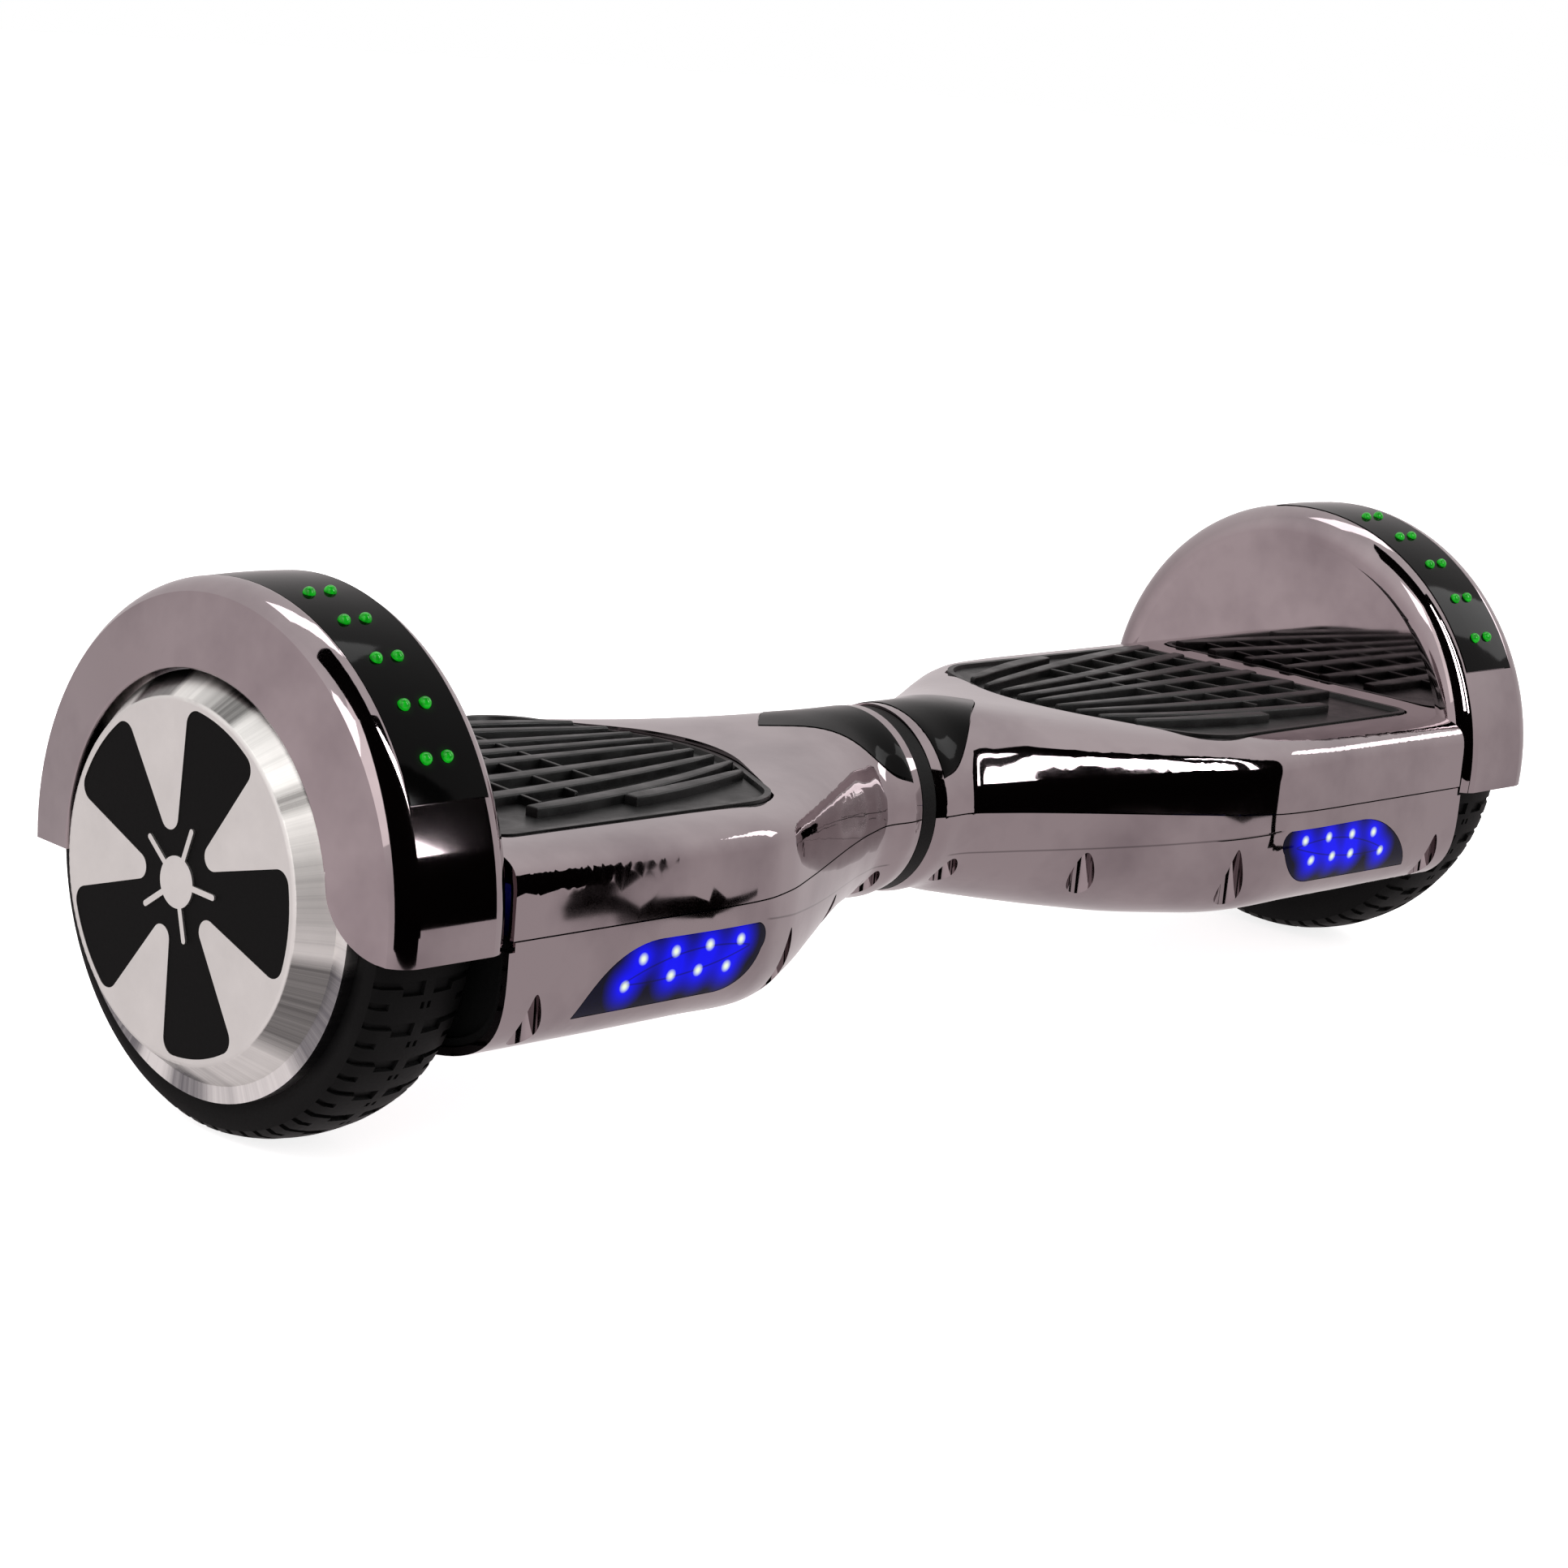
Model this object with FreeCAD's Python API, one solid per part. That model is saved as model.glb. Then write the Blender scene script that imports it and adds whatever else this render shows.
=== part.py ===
import FreeCAD
import Part
import math
import os

# A two-wheeled self balancing board: two mirrored halves that twist about a neck, each with a
# hub-motor wheel. Millimetres. X is the wheel axle line, -Y is the front, +Z is up, and the
# origin is on the floor below the middle of the neck.

V = FreeCAD.Vector

# ---- overall ---------------------------------------------------------------
tyre_r = 84.0                     # rolling radius, so also the height of the axle
deck_z = 107.4                    # top of the deck
parting_z = 80.0                  # plane between the top shell and the bottom cover
under_z = 35.0                    # underside of the bottom cover beside the wheels
belly_z = 32.5                    # its lowest point, nearer the neck
body_half_y = 91.5                # half of the body's depth at its widest
neck_r = 34.75                    # outer radius of the round neck
neck_half_gap = 3.8               # from the middle plane to the first shell edge
neck_round_x = 20.0               # the neck stays round as far as here
taper_end_x = 142.0               # the body reaches its full depth here
fender_in_x = 249.2               # inner face of the fender, where the deck ends
fender_out_x = 301.5              # outer rim of the fender
fender_r = 93.0                   # crown radius about the axle
fender_end_deg = 4.3              # the fender ends this far below the axle's height
fender_corner_r = 24.0            # its side is rounded off at the lower front
fender_corner_in = 5.0            # from the crown to where that rounding ends
hub_face_x = 306.5                # outermost plane of the wheel
wall = 2.5                        # shell walls
seam_gap = 0.3                    # between shells and what drops into them
seam_half = 0.25                  # each shell stops this far short of the parting plane
cover_end_x = fender_in_x + 2.0   # the bottom cover laps under the fender
big = 400.0                       # larger than anything on the board
wheel_gap = 2.3                   # between the tyre's sides and the fender

# ---- wheel -----------------------------------------------------------------
tyre_in_x = fender_in_x + wall + wheel_gap
tyre_out_x = 293.0
rim_seat_r = 62.0
rim_wall = 5.0
lip_r = 70.1
lip_x = 296.4
hub_face_r = 57.4
hub_cone_r = 64.7
petals = 5
petal_r = 54.8
petal_turn = 38.0                 # the first petal is turned this far from +Y
petal_corner_r = 5.0
wedge_half_deg = 19.4             # the bare wedges between the petals
wedge_tip_r = 4.2
wedge_tip_at = 20.4               # from the axle to the centre of a wedge's round tip
inlay_depth = 1.0
inlay_set_back = 0.25             # the inlay's face lies below the hub's
cap_r = 8.2
arm_reach = 18.2
arm_w = 1.9
shaft_r = 8.0                     # motor shaft inside the body
spindle_r = 6.0                   # motor shaft through the wheel
stator_r = 49.0
stator_x0, stator_x1 = 264.5, 282.5
slots = 18
air_gap = 0.6
magnet_t = 3.4
magnets = 20
rotor_in_x = tyre_in_x + 1.5
cover_t = 3.0                     # motor cover
bearing_r = 14.0
bearing_w = 8.0
fit_gap = 0.05                    # running clearance of a shaft in its bore

# ---- inside the body -------------------------------------------------------
plate_z0, plate_z1 = 93.0, 97.0   # top plate of the cast frame
plate_inset = 13.0                # from the body's outline to the plate's edge
rib_h = 5.0
skirt_t = 5.0                     # side walls of the frame's tray
skirt_z0 = 46.0
battery_half_y, battery_h = 46.0, 45.0
tube_r = 11.0                     # pivot tube
tube_bore = 7.5
bush_t = 2.0
boss_t = 4.0                      # wall of the frame's neck boss
boss_x0, boss_x1 = 9.0, 58.0
twist_deg = 12.0                  # travel each way from level
stop_pin_r = 2.5
stop_x = 34.0
tube_in_x = -boss_x1 - 2
tube_out_x = boss_x1 + 8
clamp_screw_at = ((218.0, 15.0), (218.0, -15.0), (232.0, 15.0), (232.0, -15.0))
clamp_screw_r = 2.0
board_posts = ((112.0, 20.0), (112.0, -20.0), (228.0, 20.0), (228.0, -20.0))
board_t = 1.6

# ---- foot pad --------------------------------------------------------------
pad_tip_x = 87.5
pad_tip_half_y = 30.0
pad_tip_bulge = 7.5               # the end near the neck bows out this much
pad_end_x = 242.0
pad_half_y = 71.5
pad_full_x = 127.0
pad_rib_h = 1.9
# each raised rib: start x, y, end x, y, sideways bow
pad_rib_lines = ((105, -40, 168, -53, 1.5), (98, -28, 209, -51, 4.5), (97, -18, 234, -33, 4.0),
                 (97, -8, 237, -13, 2.5), (97, 2, 238, 7, 0.5), (97.5, 11.5, 238, 26, -1.0),
                 (98.5, 21, 238, 45, -1.5), (100.5, 31, 237, 63, 3.0), (106, 43, 172, 62.5, 2.0))
rib_start_half, rib_end_half = 1.8, 3.2
pad_recess = 3.4                  # depth of the tray below the deck
pad_travel = 1.0
pad_under_z = deck_z - pad_recess + pad_travel + 0.4
plunger_foot_z = pad_under_z - pad_recess + 0.1
plunger_r = 5.0
plunger_at = ((135.0, 38.0), (135.0, -38.0), (205.0, 38.0), (205.0, -38.0))
tray_t = 2.5

# ---- lamps -----------------------------------------------------------------
lamp_in_x, lamp_out_x = 139.0, 220.5
lamp_z0, lamp_z1 = 51.2, 73.0
strip_x0, strip_x1 = 257.0, 287.0
strip_from_deg, strip_to_deg = 25.7, 101.0
strip_t = 1.4
neck_cap_t = 1.6
led_r = 2.0
led_pairs = 5
led_first_deg, led_step_deg = 34.0, 11.1
led_x = (268.9, 277.1)
headlight_leds = ((151, 68.5), (165.3, 68.6), (180.3, 68.3), (194.4, 67.6),
                  (156.5, 60.2), (169.4, 60.6), (181.3, 60.4), (201.1, 59.4))
headlight_led_r = 1.8
headlight_led_h = 1.2

# ---- controls at the back of the right half --------------------------------
control_depth = 20.0              # how far a control reaches in
button_x, button_z = 168.0, 62.0
button_r = 8.0
button_proud = 1.6                # stands out this far, and travels nearly as far
socket_x, socket_z = 200.0, 62.0
socket_r = 7.0
socket_bore_r = 5.0
dust_cap_off = 0.8                # between the cover and the dust cap
dust_cap_t = 1.0
dust_hinge_z = 73.5
dust_hinge_r = 0.6
wall_lean = 2.6                   # the cover leans inwards this much across a control

# ---- fasteners -------------------------------------------------------------
well_r = 5.0
well_tip_z = 62.0                 # where a screw well breaks out of the curved side
well_top_z = 68.0
screw_r = 1.5
screw_head_r = 2.8
well_stations = (21.0, 70.0, 122.0, 238.0)

section_points = 28                # along one half outline
section_pitch = 8.0
hull_end_x = 264.0

# station x, half depth, top height, sharpness of the top and of the bottom corners, bottom height
stations = (
    (0.0, neck_r, parting_z + neck_r, 2.0, 2.0, parting_z - neck_r),
    (neck_round_x, neck_r, parting_z + neck_r, 2.0, 2.0, parting_z - neck_r),
    (36.0, 40.0, 114.2, 2.2, 2.05, 42.0),
    (56.0, 49.5, 112.3, 2.8, 2.3, 38.2),
    (80.0, 62.5, 109.9, 3.8, 2.7, 34.6),
    (104.0, 75.6, 108.2, 5.2, 3.2, belly_z),
    (125.0, 85.8, deck_z, 6.6, 3.7, belly_z),
    (taper_end_x, 90.4, deck_z, 7.6, 4.0, belly_z + 1.2),
    (165.0, body_half_y, deck_z, 8.0, 4.2, under_z),
    (205.0, body_half_y, deck_z, 8.0, 4.3, under_z),
    (hull_end_x, body_half_y, deck_z, 8.0, 4.3, under_z),
)


# ---- helpers ---------------------------------------------------------------
def box(x0, x1, y0, y1, z0, z1):
    return Part.makeBox(x1 - x0, y1 - y0, z1 - z0, V(x0, y0, z0))


def rod(r, x0, x1, y=0.0, z=tyre_r):
    return Part.makeCylinder(r, x1 - x0, V(x0, y, z), V(1, 0, 0))


def ring(r_out, r_in, x0, x1, z=tyre_r):
    return rod(r_out, x0, x1, 0, z).cut(rod(r_in, x0 - 1, x1 + 1, 0, z))


def post(r, x, y, z0, z1):
    return Part.makeCylinder(r, z1 - z0, V(x, y, z0))


def fuse(shapes):
    out = shapes[0]
    if len(shapes) > 1:
        out = out.fuse(shapes[1:])
    return out.removeSplitter()


def path(points, place):
    # points are (a, b), or ((a, b), (c, d)) for an arc through the first to the second
    here = place(*points[0])
    first = here
    edges = []
    for item in points[1:]:
        if isinstance(item[0], tuple):
            middle, there = place(*item[0]), place(*item[1])
            edges.append(Part.Arc(here, middle, there).toShape())
        else:
            there = place(*item)
            edges.append(Part.LineSegment(here, there).toShape())
        here = there
    if (here - first).Length > 1e-6:
        edges.append(Part.LineSegment(here, first).toShape())
    return Part.Wire(edges)


def on_axle(x, r, deg=0.0):
    # a point about the axle, deg above the front horizontal
    a = math.radians(deg)
    return V(x, -r * math.cos(a), tyre_r + r * math.sin(a))


def turned(points, start_deg, end_deg):
    # a profile in x and radius, swept about the axle from the front over the top
    face = Part.Face(path(points, lambda x, r: on_axle(x, r, start_deg)))
    return face.revolve(V(0, 0, tyre_r), V(-1, 0, 0), end_deg - start_deg)


def slab(points, z0, z1):
    face = Part.Face(path(points, lambda x, y: V(x, y, z0)))
    return face.extrude(V(0, 0, z1 - z0))


def upright(block):
    # a block's four vertical edges
    return [e for e in block.Edges if abs(e.BoundBox.ZLength) > 1e-3]


def mirrored(shape):
    return shape.mirror(V(0, 0, 0), V(1, 0, 0))


def section_at(x):
    # the body's outline values at x, on a smooth monotone curve through the stations
    last = len(stations) - 1
    k = max(i for i in range(last) if stations[i][0] <= x)
    near, far = stations[k], stations[k + 1]
    span = far[0] - near[0]
    f = (x - near[0]) / span
    values = []
    for i in range(1, len(near)):
        m0, m1 = slope_at(k, i) * span, slope_at(k + 1, i) * span
        values.append((2 * f ** 3 - 3 * f ** 2 + 1) * near[i] + (f ** 3 - 2 * f ** 2 + f) * m0
                      + (3 * f ** 2 - 2 * f ** 3) * far[i] + (f ** 3 - f ** 2) * m1)
    return values


def slope_at(k, i):
    if k == 0 or k == len(stations) - 1:
        return 0.0
    before = (stations[k][i] - stations[k - 1][i]) / (stations[k][0] - stations[k - 1][0])
    after = (stations[k + 1][i] - stations[k][i]) / (stations[k + 1][0] - stations[k][0])
    return 2 * before * after / (before + after) if before * after > 0 else 0.0


def half_section(x, inset, upper):
    # the closed outline of the body above or below the parting plane
    half_y, top, sharp_top, sharp_low, low = section_at(x)
    sharp = sharp_top if upper else sharp_low
    reach = top - parting_z - inset if upper else low - parting_z + inset
    points = []
    for k in range(section_points + 1):
        t = math.pi * k / section_points
        c, s = math.cos(t), math.sin(t)
        grow = (abs(c) ** sharp + abs(s) ** sharp) ** (-1 / sharp)
        points.append(V(x, (half_y - inset) * grow * c, parting_z + reach * grow * s))
    curve = Part.BSplineCurve()
    curve.interpolate(points)
    return Part.Wire([curve.toShape(), Part.LineSegment(points[-1], points[0]).toShape()])


def half_hull(inset, upper):
    # half of the body as one solid, its skin moved inwards by inset
    count = round(hull_end_x / section_pitch)
    wires = [half_section(k * hull_end_x / count, inset, upper) for k in range(count + 1)]
    return Part.makeLoft(wires, True, False)


def top_hull(inset):
    return half_hull(inset, True)


def low_hull(inset):
    return half_hull(inset, False)


def half_width_at(x, z):
    half_y, top, sharp_top, sharp_low, low = section_at(x)
    if z >= parting_z:
        f = (z - parting_z) / (top - parting_z)
        return half_y * (1 - f ** sharp_top) ** (1 / sharp_top)
    f = (parting_z - z) / (parting_z - low)
    return half_y * (1 - f ** sharp_low) ** (1 / sharp_low)


top_outer, top_inner = top_hull(0.0), top_hull(wall)
low_outer, low_inner = low_hull(0.0), low_hull(wall)


def between(x0, x1):
    return box(x0, x1, -big, big, -big, big)


# ---- shells ----------------------------------------------------------------
def fender_profile(inset):
    # closed outline of the fender's wall in x and radius
    skin = [(fender_in_x, 10.0), (fender_in_x, 80.0), ((251.2, 88.6), (258.5, fender_r)),
            (288.0, fender_r), ((292.8, 91.6), (296.6, 88.6)), (fender_out_x, 66.3),
            ((301.2, 65.4), (300.3, 65.5)), (299.1, 66.2)]
    lining = [(294.3, 87.4), ((291.5, 89.6), (287.6, fender_r - wall)),
              (259.5, fender_r - wall), ((253.6, 86.6), (fender_in_x + wall, 79.5)),
              (fender_in_x + wall, 10.0)]
    return skin + lining


def make_fender():
    shell = turned(fender_profile(0), -fender_end_deg, 180 + fender_end_deg)
    recess = turned([(strip_x0 - seam_gap, fender_r - strip_t), (strip_x1 + seam_gap, fender_r - strip_t),
                     (strip_x1 + seam_gap, fender_r + 5), (strip_x0 - seam_gap, fender_r + 5)],
                    strip_from_deg - 0.2, strip_to_deg + 0.2)
    backing = turned([(strip_x0 - 2, fender_r - strip_t - 2), (strip_x1 + 1, fender_r - strip_t - 2),
                      (strip_x1 + 1, fender_r - wall + 0.3), (strip_x0 - 2, fender_r - wall + 0.3)],
                     strip_from_deg - 2, strip_to_deg + 2)
    return shell.fuse(backing).cut(recess).cut(fender_corner())


def fender_corner():
    # what the rounding takes off the lower front corner of the fender's side
    y = fender_corner_in - fender_r
    z = tyre_r + y * math.tan(math.radians(fender_end_deg)) + fender_corner_r
    reach = fender_corner_r + 10
    block = box(286, fender_out_x + 5, y, y + reach, z - reach, z)
    return block.cut(rod(fender_corner_r, 280, fender_out_x + 10, y, z))


def cap_outline(grow):
    # the neck cap seen from above: a spade shape pointing at the foot pad
    x0 = neck_half_gap + 4.6 - grow
    tip = 57.0 + grow
    half = neck_r - 3.0 + grow
    edge = [V(x0, -half, 0), V(17.0, -30.2 - grow, 0), V(28.0, -24.0 - grow, 0),
            V(38.0 + grow, -16.0 - grow, 0), V(48.0 + grow, -8.4 - grow, 0), V(tip, 0, 0)]
    curve = Part.BSplineCurve()
    curve.interpolate(edge)
    front = curve.toShape()
    back = front.mirror(V(0, 0, 0), V(0, 1, 0))
    wire = Part.Wire([front, back, Part.LineSegment(V(x0, half, 0), V(x0, -half, 0)).toShape()])
    face = Part.Face(wire)
    face.translate(V(0, 0, parting_z + 9))
    return face.extrude(V(0, 0, 60))


def pad_outline(grow, z0, z1):
    tip, end = pad_tip_x - grow, pad_end_x + grow
    half, tip_half = pad_half_y + grow, pad_tip_half_y + grow * 0.4
    lead = 14.0
    points = [(tip + pad_tip_bulge, -tip_half), ((tip, 0), (tip + pad_tip_bulge, tip_half)),
              (pad_full_x - lead, half - 8), ((pad_full_x - 3, half - 1.4), (pad_full_x + lead, half)),
              (end - 10, half), ((end - 2.5, half - 2.5), (end, half - 10)),
              (end, -half + 10), ((end - 2.5, -half + 2.5), (end - 10, -half)),
              (pad_full_x + lead, -half), ((pad_full_x - 3, -half + 1.4), (pad_full_x - lead, -half + 8))]
    return slab(points, z0, z1)


def well_places():
    places = []
    for x in well_stations:
        reach = half_width_at(x, well_tip_z)
        places += [(x, reach - well_r), (x, well_r - reach)]
    return places


def make_top_shell():
    length = box(neck_half_gap, fender_in_x + 0.5, -big, big, parting_z + seam_half, big)
    skin = top_outer.cut(top_inner).common(length)
    floor_z = deck_z - pad_recess
    tray = pad_outline(tray_t, floor_z - tray_t, deck_z - 1).common(top_outer)
    bosses = [post(4.0, x, y, parting_z, big) for x, y in well_places()]
    bosses = fuse(bosses).common(top_hull(0.4)).common(length)
    shell = fuse([skin, make_fender(), tray, bosses])
    shell = shell.cut(pad_outline(seam_gap, floor_z, big))
    shell = shell.cut(fuse([post(plunger_r + 0.6, x, y, 0, big) for x, y in plunger_at]))
    pilots = fuse([post(screw_r, x, y, 0, parting_z + 12) for x, y in well_places()])
    shell = shell.cut(pilots)
    cap_seat = cap_outline(seam_gap).cut(top_hull(neck_cap_t))
    shell = shell.cut(cap_seat)
    return shell


def headlight_outline(grow):
    # from the low outer tip inwards, up the round inner end and back over the bowed top
    face = Part.Face(path([(lamp_out_x, lamp_z0), (lamp_in_x + 21, lamp_z0 + 0.2),
                           ((lamp_in_x + 7.5, lamp_z0 + 4.6), (lamp_in_x + 1.4, lamp_z0 + 13)),
                           ((lamp_in_x + 0.6, lamp_z1 - 2.5), (lamp_in_x + 3.5, lamp_z1 - 0.4)),
                           (lamp_out_x - 36, lamp_z1),
                           ((lamp_out_x - 12.5, lamp_z0 + 15), (lamp_out_x, lamp_z0))],
                          lambda x, z: V(x, -120, z)))
    if grow:
        face = Part.Face(face.OuterWire.makeOffset2D(grow))
    return face.extrude(V(0, 80, 0))


def make_bottom_cover():
    length = box(neck_half_gap, cover_end_x, -big, big, -big, parting_z - seam_half)
    skin = low_outer.cut(low_inner).common(length)
    sleeves = fuse([post(well_r + 2, x, y, 0, well_top_z + 3) for x, y in well_places()])
    sleeves = sleeves.common(low_outer).common(length)
    cover = fuse([skin, sleeves])
    cover = cover.cut(fuse([post(well_r, x, y, 0, well_top_z) for x, y in well_places()]))
    cover = cover.cut(fuse([post(screw_r + 0.3, x, y, 0, 90) for x, y in well_places()]))
    cover = cover.cut(headlight_outline(seam_gap))
    drop = fender_r * math.sin(math.radians(fender_end_deg)) + seam_gap
    cover = cover.cut(box(fender_in_x - seam_gap, big, -big, big, tyre_r - drop, big))
    return cover.cut(rod(shaft_r + 2, 200, 300))


def make_right_cover(cover):
    # the right cover also carries the power button and the charging socket at its back
    button = back_rod(button_r, button_x, button_z, -control_depth, control_depth)
    socket = back_rod(socket_r + fit_gap, socket_x, socket_z, -control_depth, control_depth)
    return cover.cut(button).cut(socket)


def make_headlight_lens():
    return headlight_outline(0).common(low_outer.cut(low_inner))


def make_headlight_board():
    y = -half_width_at(180, lamp_z0) + 2 * wall + headlight_led_h
    board = box(lamp_in_x + 8, lamp_out_x - 12, y, y + 1.2, lamp_z0 + 3, lamp_z1 - 2)
    leds = [Part.makeCylinder(headlight_led_r, headlight_led_h, V(x, y - headlight_led_h, z), V(0, 1, 0))
            for x, z in headlight_leds]
    return fuse([board] + leds)


def make_wheel_liner():
    space = low_hull(wall + seam_gap)
    plate = space.common(box(245.6, 248.4, -big, big, 0, parting_z - seam_gap))
    lip = space.cut(low_hull(wall + seam_gap + 2.2))
    lip = lip.common(box(245.6, cover_end_x - 1.0, -big, big, 0, tyre_r - 7.6))
    return fuse([plate, lip]).cut(rod(shaft_r + 2, 200, 300))


def make_strip():
    band = turned([(strip_x0, fender_r - strip_t + 0.02), (strip_x1, fender_r - strip_t + 0.02),
                   (strip_x1, fender_r), ((272, fender_r + 0.35), (strip_x0, fender_r))],
                  strip_from_deg, strip_to_deg)
    return band.cut(fuse(led_posts(led_r + 0.1)))


def led_posts(r):
    posts = []
    for k in range(led_pairs):
        deg = led_first_deg + k * led_step_deg
        base = on_axle(0, fender_r - strip_t, deg)
        out = (on_axle(0, fender_r, deg) - base).normalize()
        for x in led_x:
            foot = V(x, base.y, base.z)
            stem = Part.makeCylinder(r, strip_t + 0.4, foot, out)
            dome = Part.makeSphere(r, foot + out * (strip_t + 0.4))
            lift = Part.makeCylinder(r + 1, r + 1, foot + out * strip_t, out)
            posts.append(stem.fuse(dome.common(lift)).removeSplitter())
    return posts


def make_fender_leds():
    return Part.makeCompound(led_posts(led_r))


def make_indicator_cap():
    return cap_outline(0).common(top_hull(-0.25).cut(top_hull(neck_cap_t)))


# ---- frame and pivot -------------------------------------------------------
def make_frame(right):
    stops = (26.0, 56.0, 90.0, 125.0, 150.0, 238.0)
    edge = [(x, half_width_at(x, plate_z1) - plate_inset) for x in stops]
    outline = [(x, -y) for x, y in edge] + [(x, y) for x, y in reversed(edge)]
    plate = slab(outline, plate_z0, plate_z1)
    saddle = box(212, 238, -22, 22, tyre_r, plate_z0 + 1)
    web = box(24, boss_x1, -12, 12, parting_z, plate_z0 + 1)
    hole_r = tube_r + (bush_t if right else 0.0)
    boss = rod(hole_r + boss_t, boss_x0, boss_x1, 0, parting_z)
    ribs = [box(60, 238, y - 2, y + 2, plate_z0 - rib_h, plate_z0 + 1) for y in (-34, 34)]
    for y in (-battery_half_y - 1 - skirt_t, battery_half_y + 1):
        ribs.append(box(118, 236, y, y + skirt_t, skirt_z0, plate_z0 + 1))
    stand_offs = [post(3.5, x, y, plate_z1 - 1, plate_z1 + 1.0) for x, y in board_posts]
    frame = fuse([plate, saddle, web, boss] + ribs + stand_offs)
    windows = [box(x, x + 34, y, y + 24, plate_z0 - 1, plate_z1 + 1)
               for x in (84, 126, 168) for y in (-32, 8)]
    frame = frame.cut(fuse([w.makeFillet(4.0, upright(w)) for w in windows]))
    frame = frame.cut(rod(shaft_r, 200, 260)).cut(rod(hole_r, 0, 90, 0, parting_z))
    frame = frame.cut(fuse([post(2.0, x, y, tyre_r - 20, plate_z1 + 1) for x, y in clamp_screw_at]))
    if right:
        swing = (hole_r + boss_t) * math.tan(math.radians(twist_deg)) + stop_pin_r + 0.4
        frame = frame.cut(box(stop_x - stop_pin_r - 0.4, stop_x + stop_pin_r + 0.4, -swing, swing,
                              parting_z + 4, plate_z1 + 5))
    else:
        frame = frame.cut(post(stop_pin_r, stop_x, 0, parting_z, plate_z1 + 5))
    return frame


def make_axle_clamp():
    block = box(212, 238, -22, 22, tyre_r - 14, tyre_r - 0.6).cut(rod(shaft_r, 200, 260))
    return block.cut(fuse([post(2.0, x, y, 50, 100) for x, y in clamp_screw_at]))


def make_clamp_screws():
    screws = []
    for x, y in clamp_screw_at:
        shank = post(1.95, x, y, tyre_r - 14, plate_z1 - 1)
        head = post(3.6, x, y, tyre_r - 18, tyre_r - 14)
        screws.append(fuse([shank, head]))
    return Part.makeCompound(screws)


def make_bottom_screws():
    screws = []
    for x, y in well_places():
        shank = post(screw_r, x, y, well_top_z, parting_z + 9)
        head = post(screw_head_r, x, y, well_top_z - 2.4, well_top_z)
        slot = box(x - 0.5, x + 0.5, y - 2, y + 2, well_top_z - 3, well_top_z - 1.4)
        screws.append(fuse([shank, head]).cut(slot))
    return Part.makeCompound(screws)


def make_pivot_tube():
    tube = rod(tube_r, tube_in_x, tube_out_x, 0, parting_z).cut(rod(tube_bore, -90, 90, 0, parting_z))
    groove = ring(tube_r + 1, tube_r - 1, boss_x1 + 2.3, boss_x1 + 3.8, parting_z)
    pins = [post(stop_pin_r, s * stop_x, 0, parting_z, parting_z + 30) for s in (-1, 1)]
    return tube.cut(groove).cut(fuse(pins))


def make_stop_pins():
    inside = parting_z + tube_bore + 0.2
    left = post(stop_pin_r, -stop_x, 0, inside, parting_z + tube_r + boss_t)
    right = post(stop_pin_r, stop_x, 0, inside, parting_z + tube_r + bush_t + boss_t)
    return Part.makeCompound([left, right])


def make_pivot_bushes():
    bushes = []
    for x0, x1 in ((boss_x0, boss_x0 + 16), (boss_x1 - 16, boss_x1)):
        bushes.append(ring(tube_r + bush_t, tube_r + fit_gap, x0, x1, parting_z))
    return Part.makeCompound(bushes)


def make_circlip():
    clip = ring(tube_r + 1.9, tube_r - 0.95, boss_x1 + 2.4, boss_x1 + 3.7, parting_z)
    return clip.cut(box(boss_x1, boss_x1 + 6, -2, 2, parting_z - 20, parting_z))


def make_neck_ring():
    body = rod(neck_r - 0.9, -neck_half_gap + 0.4, neck_half_gap - 0.4, 0, parting_z)
    return body.cut(rod(tube_r, -20, 20, 0, parting_z))


# ---- wheel -----------------------------------------------------------------
def make_shaft():
    inner_end = ring(shaft_r, 4.0, 206, 262)
    spindle = ring(spindle_r, 4.0, 262, 288).fuse(rod(spindle_r, 288, 300))
    shaft = fuse([inner_end, spindle])
    return shaft.cut(box(204, 240, -20, 20, tyre_r + 7.2, tyre_r + 20))


def make_stator():
    core = ring(30.0, spindle_r, stator_x0, stator_x1)
    teeth = []
    for k in range(slots):
        stem = box(stator_x0, stator_x1, -1.8, 1.8, tyre_r + 28, tyre_r + stator_r - 1)
        shoe = box(stator_x0, stator_x1, -5.6, 5.6, tyre_r + stator_r - 4, tyre_r + stator_r + 2)
        teeth.append(stem.fuse(shoe).rotate(V(0, 0, tyre_r), V(1, 0, 0), k * 360.0 / slots))
    return fuse([core] + teeth).common(rod(stator_r, stator_x0, stator_x1))


def make_windings():
    coils = []
    for k in range(slots):
        coil = box(stator_x0 - 2.5, stator_x1 + 2.5, -3.4, 3.4, tyre_r + 31, tyre_r + stator_r - 4.5)
        coil = coil.cut(box(stator_x0 - 0.05, stator_x1 + 0.05, -1.85, 1.85, tyre_r, tyre_r + 80))
        coils.append(coil.rotate(V(0, 0, tyre_r), V(1, 0, 0), k * 360.0 / slots))
    return Part.makeCompound(coils)


def make_bearings():
    inner_one = ring(bearing_r, shaft_r + fit_gap, 254.4, 254.4 + 6.6)
    outer_one = ring(bearing_r, spindle_r + fit_gap, lip_x - 2 - bearing_w, lip_x - 2)
    return Part.makeCompound([inner_one, outer_one])


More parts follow.
